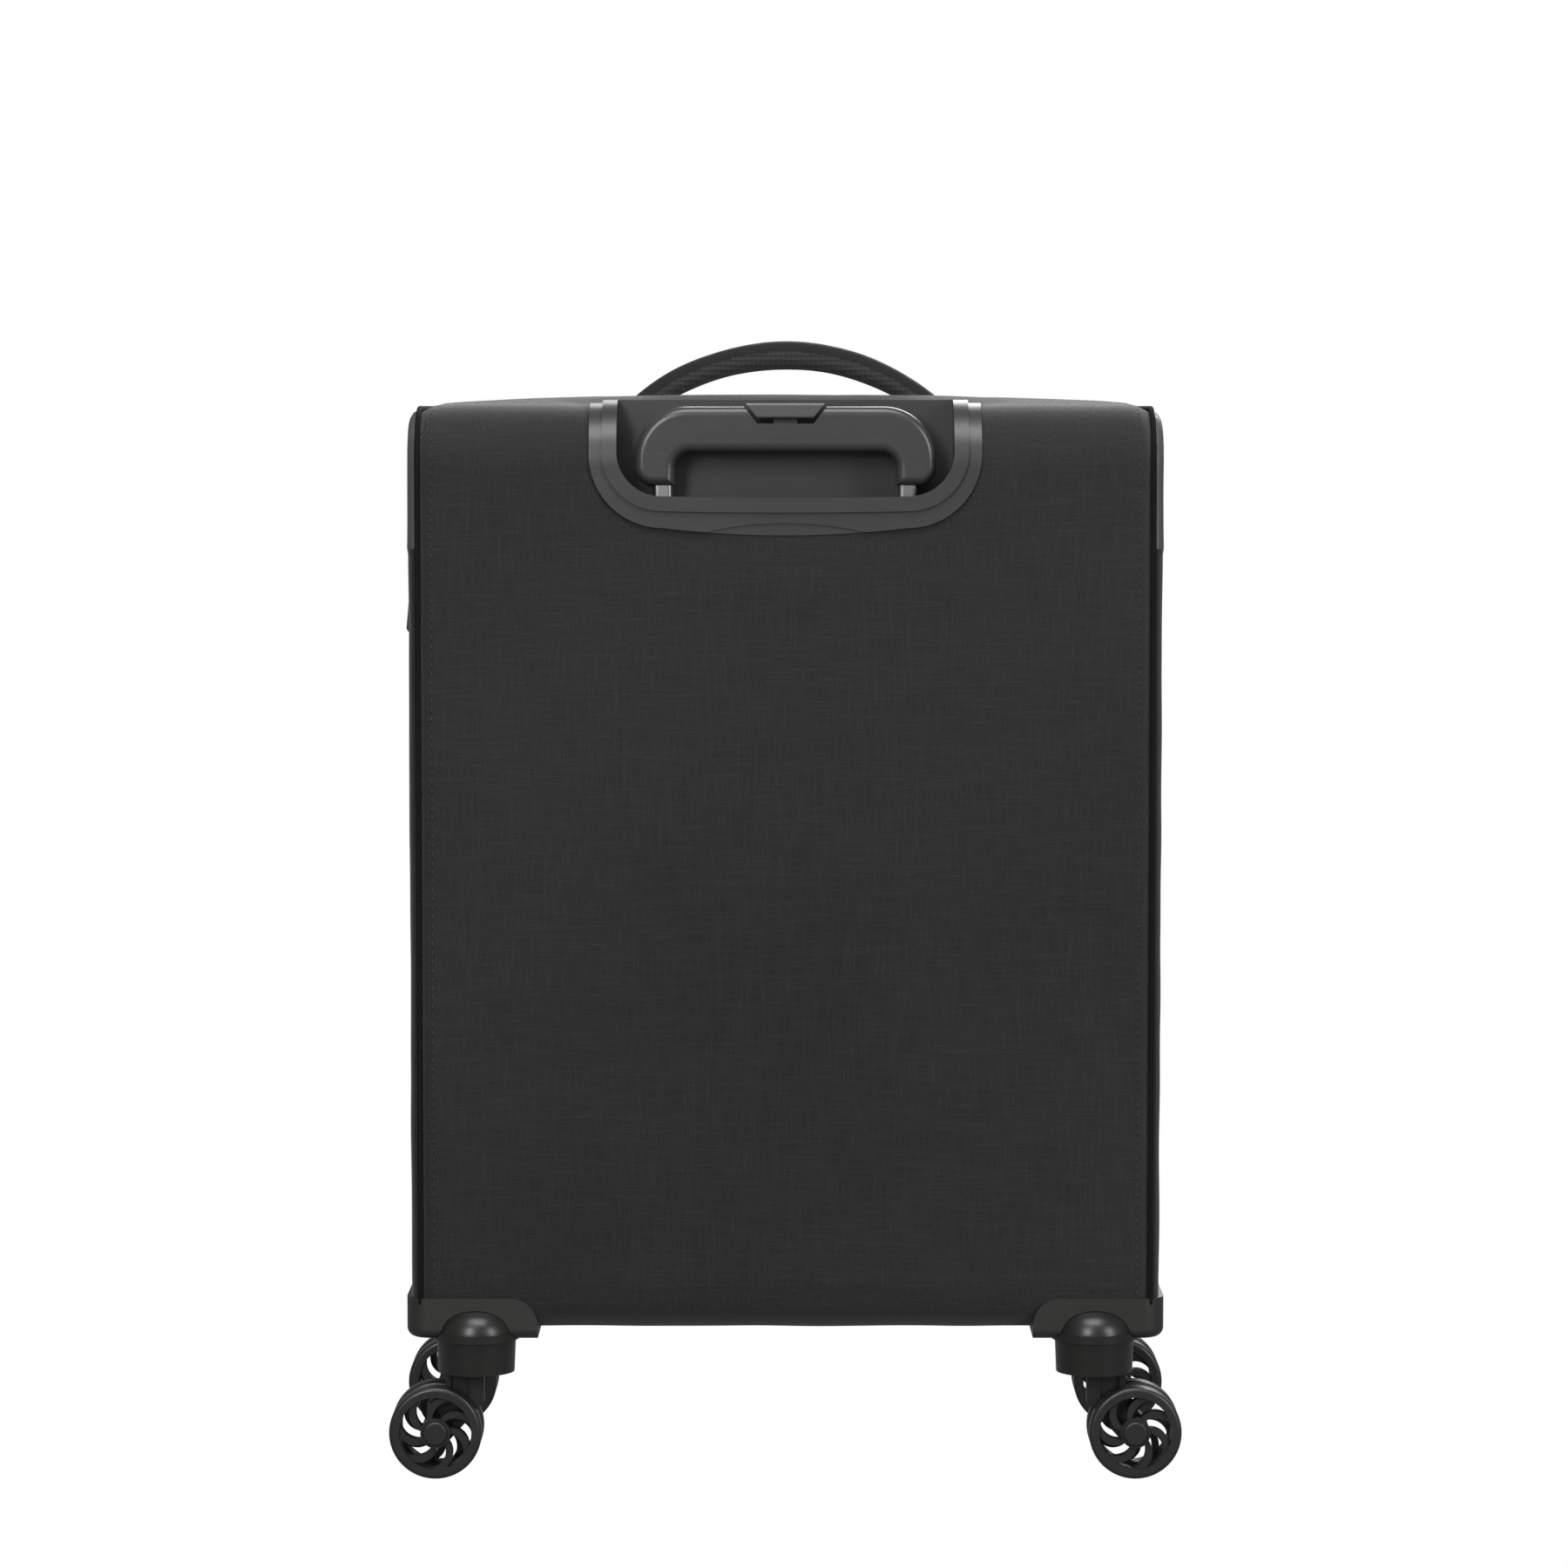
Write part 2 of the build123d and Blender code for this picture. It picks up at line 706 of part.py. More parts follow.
def make_tube_foot():
    half_depth = outer_tube_y / 2
    foot_top = foot_low + foot_height
    with BuildPart() as foot:
        block(
            (-foot_half_width, tube_y - half_depth, foot_low),
            (foot_half_width, tube_y + half_depth + foot_front_lip, foot_top),
        )
        heel = foot.faces().sort_by(Axis.Z)[0].edges().filter_by(Axis.X).sort_by(Axis.Y)[0]
        fillet(heel, tray_edge_radius - tray_wall - foot_heel_ease)
        add(tube_pair(outer_tube_x, outer_tube_y, outer_tube_low, foot_top + cut_margin), mode=Mode.SUBTRACT)
    save(foot, "tube_foot")


def grip_outline(inset):
    """The grip seen from behind, a wide upside-down U, with its outline moved in by inset."""
    high = case_top - inset
    low = grip_low + inset
    gap_half = grip_half_width - grip_leg_width + inset
    gap_high = case_top - grip_bar_height + inset
    gap_low = low - grip_bar_height
    with BuildSketch() as gap:
        with Locations((0, (gap_high + gap_low) / 2)):
            Rectangle(2 * gap_half, gap_high - gap_low)
        fillet(gap.vertices().group_by(Axis.Y)[-1], grip_inner_radius + inset)
    with BuildSketch() as outline:
        with Locations((0, (low + high) / 2)):
            Rectangle(2 * (grip_half_width - inset), high - low)
        fillet(outline.vertices().group_by(Axis.Y)[-1], grip_corner_radius - inset)
        fillet(outline.vertices().group_by(Axis.Y)[0], grip_foot_radius - inset)
        add(gap.sketch, mode=Mode.SUBTRACT)
    return outline.sketch


def make_grip():
    with BuildPart() as grip:
        with BuildSketch(plane_xz(tube_y)):
            add(grip_outline(0))
        extrude(amount=grip_depth / 2, both=True)
        rims = grip.faces().sort_by(Axis.Y)[0].edges() + grip.faces().sort_by(Axis.Y)[-1].edges()
        fillet(rims, grip_round)
        with BuildSketch(plane_xz(tube_y)):
            add(grip_outline(grip_wall))
        extrude(amount=grip_depth / 2 - grip_wall, both=True, mode=Mode.SUBTRACT)
        add(tube_pair(inner_tube_x, inner_tube_y, grip_low - cut_margin, inner_tube_top), mode=Mode.SUBTRACT)
        slope = (button_top_half - button_low_half) / button_height
        opening_top = button_top_half + button_gap + slope * button_travel
        opening_low = button_low_half + button_gap
        high = case_top + button_proud
        low = high - button_height - button_travel - button_gap
        with BuildSketch(plane_xz(tube_y)):
            with BuildLine():
                Polyline(
                    (-opening_top, high),
                    (opening_top, high),
                    (opening_low, low),
                    (-opening_low, low),
                    close=True,
                )
            make_face()
        extrude(amount=grip_depth, both=True, mode=Mode.SUBTRACT)
    for name, side in [("grip_rear_half", Keep.TOP), ("grip_front_half", Keep.BOTTOM)]:
        with BuildPart() as half:
            add(grip.part)
            split(bisect_by=plane_xz(tube_y), keep=side)
        save(half, name)


def make_button():
    high = case_top + button_proud
    low = high - button_height
    with BuildPart() as button:
        with BuildSketch(plane_xz(tube_y)):
            with BuildLine():
                Polyline(
                    (-button_top_half, high),
                    (button_top_half, high),
                    (button_low_half, low),
                    (-button_low_half, low),
                    close=True,
                )
            make_face()
        extrude(amount=grip_depth / 2 + button_face_proud, both=True)
        fillet(button.edges().filter_by(Axis.X), button_edge_radius)
        block(
            (-yoke_size, tube_y - yoke_size / 2, yoke_top()),
            (yoke_size, tube_y + yoke_size / 2, low + button_stem_overlap),
        )
    save(button, "grip_button")


def yoke_top():
    return case_top - grip_bar_height + grip_wall + button_travel + fabric_gap + yoke_size


def make_push_rods():
    """The yoke across the grip and a rod down each inner tube, pushed by the button."""
    reach = tube_half_spacing + rod_radius
    with BuildPart() as rods:
        block(
            (-reach, tube_y - yoke_size / 2, yoke_top() - yoke_size),
            (reach, tube_y + yoke_size / 2, yoke_top()),
        )
        rod_low = inner_tube_low + button_travel + rod_end_gap
        rod_high = yoke_top() - rod_overlap
        for side in (-1, 1):
            with Locations((side * tube_half_spacing, tube_y, (rod_low + rod_high) / 2)):
                Cylinder(rod_radius, rod_high - rod_low)
    save(rods, "push_rods")


def cup_layer(proud, reach, half, low, corner, bulge):
    """A plate that wraps over the rear and top of the case, cut to an outline seen from behind."""
    with BuildPart() as layer:
        with BuildSketch(plane_yz(0)):
            add(band_section(proud, 0, cup_back_y + cup_wall + reach, flange_low))
        extrude(amount=half, both=True)
        with BuildSketch(plane_xz(0)):
            add(cup_outline(half, low, corner, bulge, case_top + 2 * proud))
        extrude(amount=overall_depth, both=True, mode=Mode.INTERSECT)
    return layer.part


def cup_basin():
    """The block that the recess is cut from, flush with the rolled edge of the case."""
    front = cup_back_y + cup_wall
    low = cup_floor_z - cup_wall
    half = cup_half_width + cup_wall
    with BuildPart() as basin:
        with BuildSketch(plane_yz(0)):
            with BuildLine():
                back = FilletPolyline(
                    (front, case_top), (rear_y, case_top), (rear_y, low), radius=roll_radius
                )
                Polyline(back @ 0, (front, low), back @ 1)
            make_face()
        extrude(amount=half, both=True)
        with BuildSketch(plane_xz(0)):
            add(basin_outline(half, low, basin_corner_radius, case_top + cut_margin))
        extrude(amount=overall_depth, both=True, mode=Mode.INTERSECT)
    return basin.part


def make_handle_cup():
    with BuildPart() as cup:
        add(
            cup_layer(
                flange_proud, flange_reach, flange_half_width, flange_low, flange_corner_radius, flange_bulge
            )
        )
        with BuildSketch(plane_xz(rear_y - flange_proud)):
            with BuildLine():
                arch = ThreePointArc(
                    (-relief_half_width, flange_low),
                    (0, flange_low + relief_height),
                    (relief_half_width, flange_low),
                )
                Line(arch @ 1, arch @ 0)
            make_face()
        extrude(amount=relief_depth, both=True, mode=Mode.SUBTRACT)
        add(
            cup_layer(
                ridge_proud, ridge_width, cup_half_width + ridge_width, cup_low - ridge_width,
                cup_corner_radius + ridge_width, cup_bulge,
            )
        )
        add(cup_basin())
        with BuildSketch(plane_xz(cup_back_y)):
            add(cup_outline(cup_half_width, cup_low, cup_corner_radius, cup_bulge, case_top + cup_depth))
        extrude(amount=2 * cup_depth, mode=Mode.SUBTRACT)
        with BuildSketch(plane_xz(cup_back_y)):
            add(basin_outline(cup_half_width, cup_floor_z, basin_corner_radius, case_top + cup_depth))
        extrude(amount=cup_depth - cup_lip_width, mode=Mode.SUBTRACT)
        hole_x = middle_tube_x + 2 * tube_gap
        hole_y = middle_tube_y + 2 * tube_gap
        hole_low = outer_tube_top - cut_margin
        add(tube_pair(hole_x, hole_y, hole_low, cup_floor_z + cut_margin), mode=Mode.SUBTRACT)
    save(cup, "handle_cup")


# ---------------------------------------------------------------- top carry handle
def make_carry_handle():
    ground = case_top + fabric_gap
    inner_rise = carry_rise - carry_thickness
    with BuildPart() as handle:
        with BuildSketch(plane_xz(0)):
            with BuildLine():
                outer = ThreePointArc(
                    (-carry_half_span, ground), (0, case_top + carry_rise), (carry_half_span, ground)
                )
                inner = ThreePointArc(
                    (-carry_half_inner, ground), (0, case_top + inner_rise), (carry_half_inner, ground)
                )
                Line(outer @ 0, inner @ 0)
                Line(outer @ 1, inner @ 1)
            make_face()
        extrude(amount=carry_width / 2, both=True)
        rims = [edge for edge in handle.edges() if edge.length > carry_half_span]
        fillet(rims, carry_round)
        for side in (-1, 1):
            block(
                (side * carry_half_inner, -carry_width / 2, ground),
                (side * (carry_half_span + carry_foot_length), carry_width / 2, ground + carry_foot_height),
            )
    save(handle, "carry_handle")


# ---------------------------------------------------------------- frame hoops, piping, lining and straps
def make_frame_hoops():
    half = half_width - side_wall - hoop_wire / 2 - hoop_inset
    low = max(foot_low, guard_bottom + screw_length) + hoop_wire / 2 + fabric_gap
    high = case_top - band_wall - hoop_wire / 2 - fabric_gap
    with BuildPart() as hoops:
        for y in (cup_back_y + cup_wall + hoop_wire, shell_front_y - hoop_setback):
            with BuildSketch(plane_xz(y)):
                with Locations((0, (low + high) / 2)):
                    RectangleRounded(2 * half + hoop_wire, high - low + hoop_wire, hoop_corner_radius)
                    RectangleRounded(
                        2 * half - hoop_wire,
                        high - low - hoop_wire,
                        hoop_corner_radius - hoop_wire,
                        mode=Mode.SUBTRACT,
                    )
            extrude(amount=hoop_wire / 2, both=True)
    save(hoops, "frame_hoops")


def make_piping():
    """A cord of piping in each seam between the side panels and the rear and top panels."""
    radius = piping_diameter / 2
    sunk = radius - piping_proud
    with BuildPart() as piping:
        for side in (-1, 1):
            x = side * (half_width - side_wall - radius - piping_seat)
            with BuildLine(plane_yz(x)) as seam:
                FilletPolyline(
                    (shell_front_y, case_top - sunk),
                    (rear_y + sunk, case_top - sunk),
                    (rear_y + sunk, walls_low),
                    radius=roll_radius - sunk,
                )
            with BuildSketch(Plane(seam.line @ 0, z_dir=seam.line % 0)):
                Circle(radius)
            sweep(path=seam.line)
    save(piping, "body_piping")


def make_tube_cover():
    half = half_width - side_wall - 2 * fabric_gap
    with BuildPart() as cover:
        block(
            (-half, cover_y, tray_top + fabric_gap),
            (half, cover_front_y, cup_floor_z - cup_wall - 2 * fabric_gap),
        )
    save(cover, "tube_cover")


def make_packing_straps():
    low = tray_top + strap_end_gap
    high = cup_floor_z - strap_end_gap
    with BuildPart() as straps:
        for side in (-1, 1):
            middle = side * strap_half_spacing
            block(
                (middle - strap_width / 2, cover_front_y, low),
                (middle + strap_width / 2, cover_front_y + strap_thickness, high),
            )
    save(straps, "packing_straps")


# ---------------------------------------------------------------- lid, pocket and zips
def lid_section(inset):
    """The lid seen from the side, with its outline moved in by inset."""
    with BuildSketch() as section:
        with BuildLine():
            front = FilletPolyline(
                (lid_rear_y, case_top - inset),
                (face_y - inset, case_top - inset),
                (face_y - inset, lid_low + inset),
                radius=lid_roll_radius - inset,
            )
            Polyline(front @ 0, (lid_rear_y, lid_low + inset), front @ 1)
        make_face()
    return section.sketch


def make_lid_panel():
    with BuildPart() as lid:
        with BuildSketch(plane_yz(0)):
            add(lid_section(0))
        extrude(amount=half_width, both=True)
        for end in (0, -1):
            side_face = lid.faces().sort_by(Axis.X)[end]
            soft_edges = [
                edge
                for edge in side_face.edges()
                if edge.center().Y > lid_rear_y + cut_margin and edge.center().Z > lid_low + cut_margin
            ]
            fillet(soft_edges, side_edge_radius)
        with BuildSketch(plane_yz(0)):
            add(lid_section(lid_wall))
        extrude(amount=half_width - lid_wall, both=True, mode=Mode.SUBTRACT)
    save(lid, "lid_panel")


def make_front_pocket():
    low = lid_low + pocket_low_gap
    with BuildPart() as pocket:
        block(
            (-pocket_half_width, face_y, low),
            (pocket_half_width, face_y + pocket_depth, low + pocket_height),
        )
        fillet(pocket.edges().filter_by(Axis.Y), pocket_round)
        fillet(pocket.faces().sort_by(Axis.Y)[-1].edges(), pocket_edge_share * pocket_round)
    save(pocket, "front_pocket")


def make_main_zip():
    """The zip's chain and tape, one ring around the case between the shell and the lid."""
    low = walls_low + 2 * zip_inset
    high = case_top - zip_inset
    width = 2 * (half_width - zip_inset)
    with BuildPart() as chain:
        with BuildSketch(plane_xz(zip_y)):
            with Locations((0, (low + high) / 2)):
                RectangleRounded(width, high - low, zip_corner_radius)
                RectangleRounded(
                    width - 2 * zip_thickness,
                    high - low - 2 * zip_thickness,
                    zip_corner_radius - zip_thickness,
                    mode=Mode.SUBTRACT,
                )
        extrude(amount=zip_width / 2, both=True)
    save(chain, "main_zip")


def pocket_top():
    return lid_low + pocket_low_gap + pocket_height


def make_pocket_zips():
    """One zip along the top of the pocket and one across the upper part of the lid."""
    middle_y = face_y + pocket_depth / 2
    with BuildPart() as zips:
        block(
            (-pocket_zip_half, middle_y - pocket_zip_width / 2, pocket_top()),
            (pocket_zip_half, middle_y + pocket_zip_width / 2, pocket_top() + pocket_zip_thickness),
        )
        block(
            (-pocket_zip_half, face_y, upper_zip_height - pocket_zip_width / 2),
            (pocket_zip_half, face_y + pocket_zip_thickness, upper_zip_height + pocket_zip_width / 2),
        )
    save(zips, "pocket_zips")


def make_puller(name, origin, along, outward):
    """A slider with its tab: along is the way the tab lies, outward points away from the zip."""
    plane = Plane(origin=origin, x_dir=along, z_dir=outward)
    with BuildPart() as puller:
        with BuildSketch(plane):
            RectangleRounded(slider_length, slider_width, slider_corner)
        extrude(amount=slider_height)
        with BuildSketch(plane.offset(slider_height - tab_thickness)):
            with Locations((slider_length / 2 + tab_length / 2 - tab_overlap, 0)):
                RectangleRounded(tab_length, tab_width, slider_corner)
            with Locations((slider_length / 2 + tab_length - tab_slot_inset, 0)):
                SlotOverall(tab_slot_length, tab_slot_width, mode=Mode.SUBTRACT)
        extrude(amount=tab_thickness)
    save(puller, name)


def make_pullers():
    zip_x = -half_width - fabric_gap
    lock_middle = lock_low + lock_height / 2
    meet = slider_length / 2 + slider_gap
    make_puller("main_puller_upper", (zip_x, zip_y, lock_middle + meet), (0, 0, 1), (-1, 0, 0))
    make_puller("main_puller_lower", (zip_x, zip_y, lock_middle - meet), (0, 0, -1), (-1, 0, 0))
    start = -pocket_zip_half + slider_length
    pocket_zip_z = pocket_top() + pocket_zip_thickness + fabric_gap
    upper_zip_y = face_y + pocket_zip_thickness + fabric_gap
    make_puller("pocket_puller_lower", (start, face_y + pocket_depth / 2, pocket_zip_z), (1, 0, 0), (0, 0, 1))
    make_puller("pocket_puller_upper", (start, upper_zip_y, upper_zip_height), (1, 0, 0), (0, 1, 0))


# ---------------------------------------------------------------- combination lock
def dial_x():
    return -half_width - dial_radius - fabric_gap


def dial_places():
    first = lock_low + dial_first + dial_height / 2
    return [first + index * dial_pitch for index in range(dial_count)]


def release_low():
    return dial_places()[-1] + dial_height / 2 + release_first


def make_lock_body():
    """A wedge that stands further out at its foot, with a window for each dial and one for the release."""
    middle_y = (lock_rear_y + lock_front_y) / 2
    lock_high = lock_low + lock_height
    outer_x = -half_width - lock_thick
    with BuildPart() as lock:
        with BuildSketch(plane_xz(middle_y)):
            with BuildLine():
                Polyline(
                    (-half_width, lock_low),
                    (outer_x + lock_edge, lock_low),
                    (outer_x, lock_low + lock_low_edge),
                    (-half_width - lock_thin, lock_high - lock_high_edge),
                    (-half_width - lock_thin + lock_edge, lock_high),
                    (-half_width, lock_high),
                    close=True,
                )
            make_face()
        extrude(amount=lock_width / 2, both=True)
        fillet(lock.edges().filter_by(Axis.X), lock_corner_radius)
        half_window = dial_radius + dial_gap
        for height in dial_places():
            low = height - dial_height / 2 - window_gap
            high = height + dial_height / 2 + window_gap
            block(
                (outer_x - cut_margin, middle_y - half_window, low),
                (-half_width, middle_y + half_window, high),
                mode=Mode.SUBTRACT,
            )
        half_window = release_width / 2 + window_gap
        window_high = release_low() + release_length + release_travel + window_gap
        block(
            (outer_x - cut_margin, middle_y - half_window, release_low() - window_gap),
            (-half_width - release_seat, middle_y + half_window, window_high),
            mode=Mode.SUBTRACT,
        )
    save(lock, "lock_body")


def make_lock_dials():
    middle_y = (lock_rear_y + lock_front_y) / 2
    for number, height in enumerate(dial_places(), start=1):
        with BuildPart() as dial:
            with Locations((dial_x(), middle_y, height)):
                Cylinder(dial_radius, dial_height)
            chamfer(dial.edges().filter_by(GeomType.CIRCLE), dial_chamfer)
        save(dial, f"lock_dial_{number}")


def make_lock_release():
    middle_y = (lock_rear_y + lock_front_y) / 2
    inner_x = -half_width - release_seat - window_gap
    outer_x = -half_width - lock_thin - release_proud
    with BuildPart() as release:
        block(
            (inner_x, middle_y - release_width / 2, release_low()),
            (outer_x, middle_y + release_width / 2, release_low() + release_length),
        )
        fillet(release.faces().sort_by(Axis.X)[0].edges(), release_edge_radius)
    save(release, "lock_release")


make_rear_panel()
make_top_panel()
make_side_panel("side_panel_left", -1)
make_side_panel("side_panel_right", 1)
make_base_tray()
for corner_name, corner_x, corner_y in corners:
    make_corner_guard(corner_name, corner_x, corner_y)
    make_housing(corner_name, corner_x, corner_y)
    make_fork(corner_name, corner_x, corner_y)
    make_axle(corner_name, corner_x, corner_y)
    make_wheel(corner_name, corner_x, corner_y, 1)
    make_wheel(corner_name, corner_x, corner_y, -1)
make_swivel_pins()
make_screws()
make_tubes("outer_tubes", outer_tube_x, outer_tube_y, outer_tube_low, outer_tube_top)
make_tubes("middle_tubes", middle_tube_x, middle_tube_y, middle_tube_low, middle_tube_top)
make_tubes("inner_tubes", inner_tube_x, inner_tube_y, inner_tube_low, inner_tube_top)
make_collars("cup_collars", outer_tube_x, outer_tube_y, middle_tube_x, middle_tube_y, outer_collar_top)
make_collars("middle_collars", middle_tube_x, middle_tube_y, inner_tube_x, inner_tube_y, middle_collar_top)
make_tube_foot()
make_handle_cup()
make_grip()
make_button()
make_push_rods()
make_carry_handle()
make_frame_hoops()
make_piping()
make_tube_cover()
make_packing_straps()
make_lid_panel()
make_front_pocket()
make_main_zip()
make_pocket_zips()
make_pullers()
make_lock_body()
make_lock_dials()
make_lock_release()
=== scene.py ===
import bpy
import bmesh
import itertools
import math
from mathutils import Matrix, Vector, noise


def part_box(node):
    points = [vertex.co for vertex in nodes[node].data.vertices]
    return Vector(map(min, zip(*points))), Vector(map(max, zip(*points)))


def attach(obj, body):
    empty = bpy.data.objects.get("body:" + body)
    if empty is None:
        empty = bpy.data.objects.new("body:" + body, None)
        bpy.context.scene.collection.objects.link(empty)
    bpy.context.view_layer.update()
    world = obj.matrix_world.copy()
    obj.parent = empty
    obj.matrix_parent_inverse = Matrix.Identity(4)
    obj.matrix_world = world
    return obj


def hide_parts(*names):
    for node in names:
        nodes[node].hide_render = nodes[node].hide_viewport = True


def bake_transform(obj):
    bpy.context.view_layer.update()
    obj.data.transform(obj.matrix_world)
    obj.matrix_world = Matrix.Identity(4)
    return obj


# A cabin-size softside suitcase: fabric skins, piping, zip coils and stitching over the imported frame.
# Metres throughout. X runs across the case, Y from its rear (trolley side) to its front, and Z up.
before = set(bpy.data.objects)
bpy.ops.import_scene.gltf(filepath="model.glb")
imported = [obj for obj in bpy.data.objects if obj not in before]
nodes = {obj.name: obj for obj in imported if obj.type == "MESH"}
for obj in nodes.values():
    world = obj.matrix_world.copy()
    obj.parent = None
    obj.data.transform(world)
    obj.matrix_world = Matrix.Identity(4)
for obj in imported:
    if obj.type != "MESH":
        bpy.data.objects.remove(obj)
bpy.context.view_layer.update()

# ---- Fabric skins ----
grid_step = 0.005             # spacing of the grids of the band and the hinge strip
side_step = 0.003             # spacing of the side panels' grids
skin_thickness = 0.0035       # cloth and its padding
roll_radius = 0.030           # the rear panel rolls over into the top
roll_steps = 10
hem_radius = 0.017            # the rear panel wraps under the base
hem_steps = 8
under_gap = 0.0004            # the cloth under the base lies this far below the tray
base_front_gap = 0.002        # the cloth over the base's front ends this far below the lid
slack = 0.0005                # unevenness of the fabric
ripple_size = 0.035           # size of its ripples
side_noise = 0.3              # where in the noise the side panels' ripples are read
tape_noise = 0.5              # and where the hinge strip's are

# ---- How far the band stands proud ----
crown = 0.0016                # in the middle of the band, all the way round
crown_power = 0.5
top_crown = 0.0046            # added on the top panel
top_power = 0.6
top_start = 0.03              # the top's crown grows over this length from the roll
top_end = 0.012               # and falls to the zip over this length
top_margin = 0.001            # points this close to the case's top belong to the top panel
base_zone = 0.02              # under the base, and up to this height above it,
base_share = 0.2              # only this share of the crown is left
edge_width = 0.010            # the band turns down to its piping over this width
edge_drop = 0.0028            # and by this much
under_flange = 0.0004         # the cup's flange presses the fabric down to this
flange_blend = 0.025          # the fabric is free of the flange this far from it

# ---- Opening for the cup: how far the cup's flange covers its edge, and its lower corners ----
cup_side_cover = 0.006
cup_top_cover = 0.005
cup_foot_cover = 0.010
cup_corner = 0.030

# ---- Side panels ----
side_drop = 0.0016            # the side panels end below the band
side_inset = 0.0006           # the cloth lies this far within the plain panel's face
side_edge = 0.009             # it curves in to the piping over this width
side_round = 0.0055           # and by this much
side_bulge = 0.0008           # it stands this far proud in its middle
patch_height = 0.073          # coated patch at the top of each side panel
patch_rise = 0.0005           # the patch lies on top of the cloth
inner_facing = -0.7           # faces that look inwards at least this squarely are lining
lining_index = 1              # places in a piece's list of materials
patch_index = 2

# ---- Lid, pocket and carry handle ----
voxel = 0.0042                # fineness of the lid and the pocket
carry_voxel = 0.0016          # fineness of the carry handle
relax_share = 0.5             # of the way to its neighbours that a point moves each time
lid_skin = 0.0035             # the lid's face belongs to the outer cloth to this depth
lid_rim = 0.003               # and so does this width of its edges
carry_foot = 0.014            # sewn foot at each end of the carry handle
carry_smooth = 0.0055         # smooth cloth on the outside of its arch, mesh below
carry_base = 0.004            # the feet are smooth cloth up to this height

# ---- Hinge strip ----
tape_half_width = 0.0085
tape_end_gap = 0.030
tape_columns = 12
tape_rise = 0.0008            # it stands this far proud in its middle
tape_ripple = 0.3             # its share of the fabric's unevenness
tape_thickness = 0.0009

# ---- Piping ----
piping_radius = 0.0014
piping_out = 0.0009           # its centre lies beyond the edge of the band
piping_sunk = 0.0010          # and below it
piping_foot = 0.010           # it ends this far above the base
lid_corner = 0.016            # corner radius of the piping and stitching round the lid
lid_corner_steps = 6
lid_piping_inset = 0.0035
lid_piping_sunk = 0.0025

# ---- Stitching ----
stitch_length = 0.0030
stitch_pitch = 0.0046
stitch_radius = 0.00035
stitch_ridge = 0.5            # length of a stitch's raised ridge, as a share of the stitch
stitch_faces = ((0, 1, 4), (1, 5, 4), (1, 2, 5), (2, 3, 5), (3, 4, 5), (3, 0, 4))  # 4 and 5 are the ridge
stitch_lean = 0.2             # how far the roll's and the rear's stitches lean upwards
band_stitch_inset = 0.0062
band_stitch_lift = 0.0002
patch_stitch_rise = 0.0022    # above the patch's lower edge
patch_stitch_sunk = 0.0001
patch_stitch_rear = 0.009     # the row starts this far from the rear
patch_stitch_front = 0.004    # and ends this far from the zip
lid_stitch_inset = 0.0085
lid_stitch_lift = 0.0004

# ---- Zips ----
coil_pitch = 0.0022
tooth_length = 0.0009         # half of a tooth along the zip
tooth_width = 0.0013          # half of it across the zip
tooth_height = 0.0007         # half of it out of the pocket's zips
bead_segments = 6
bead_rings = 4
zip_corner = 0.007            # corner radius of the main zip
zip_corner_steps = 3
pocket_coil_gap = 0.004       # the pocket's coils end this far within its zips
pocket_coil_lift = 0.0016     # and lie this far above the cloth
pocket_coil_drop = 0.0025     # the upper one runs this far below the zip's upper edge

# ---- Softened edges of moulded pieces, and the surroundings ----
edge_rounding = 0.0006
edge_rounding_steps = 2
edge_angle = 35               # degrees; flatter edges stay as they are
surround_light = 0.25         # of the white surroundings, as light on the case
white = (1, 1, 1, 1)

# ---- Places read from the frame ----
rear_low, rear_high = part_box("rear_panel")
side_low, side_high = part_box("side_panel_right")
lid_low, lid_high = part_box("lid_panel")
pocket_low, pocket_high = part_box("front_pocket")
cup_low, cup_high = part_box("handle_cup")
carry_low, carry_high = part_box("carry_handle")
rear_y = rear_low.y
top_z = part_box("top_panel")[1].z
base_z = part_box("base_tray")[0].z
zip_y = side_high.y
face_y = lid_high.y
side_x = side_high.x
seam_x = (rear_high.x + side_low.x) / 2


# ---------------------------------------------------------------- materials
def new_material(name):
    """A material, its node tree, its shader, and places in the object's own space, in metres."""
    material = bpy.data.materials.new(name)
    material.use_nodes = True
    tree = material.node_tree
    shader = tree.nodes["Principled BSDF"]
    place = tree.nodes.new("ShaderNodeTexCoord").outputs["Object"]
    return material, tree, shader, place


def node(tree, kind, sockets=None, **settings):
    """A new node with its settings and the constants of its sockets."""
    made = tree.nodes.new(kind)
    for key, value in settings.items():
        setattr(made, key, value)
    for key, value in (sockets or {}).items():
        made.inputs[key].default_value = value
    return made


def mixed(tree, factor, low, high):
    """A colour between low and high, by a factor socket."""
    ramp = node(tree, "ShaderNodeValToRGB")
    ramp.color_ramp.elements[0].color = (*low, 1)
    ramp.color_ramp.elements[1].color = (*high, 1)
    tree.links.new(factor, ramp.inputs["Fac"])
    return ramp.outputs["Color"]


def maths(tree, operation, first, second=0.0):
    """The result of an operation on two values, each a number or a socket."""
    made = node(tree, "ShaderNodeMath", operation=operation)
    for socket, value in zip(made.inputs, (first, second)):
        if isinstance(value, (int, float)):
            socket.default_value = value
        else:
            tree.links.new(value, socket)
    return made.outputs[0]


def weighed(tree, first, first_share, second, second_share):
    """The sum of two sockets, each times its share."""
    scaled = maths(tree, "MULTIPLY", first, first_share)
    return maths(tree, "ADD", scaled, maths(tree, "MULTIPLY", second, second_share))


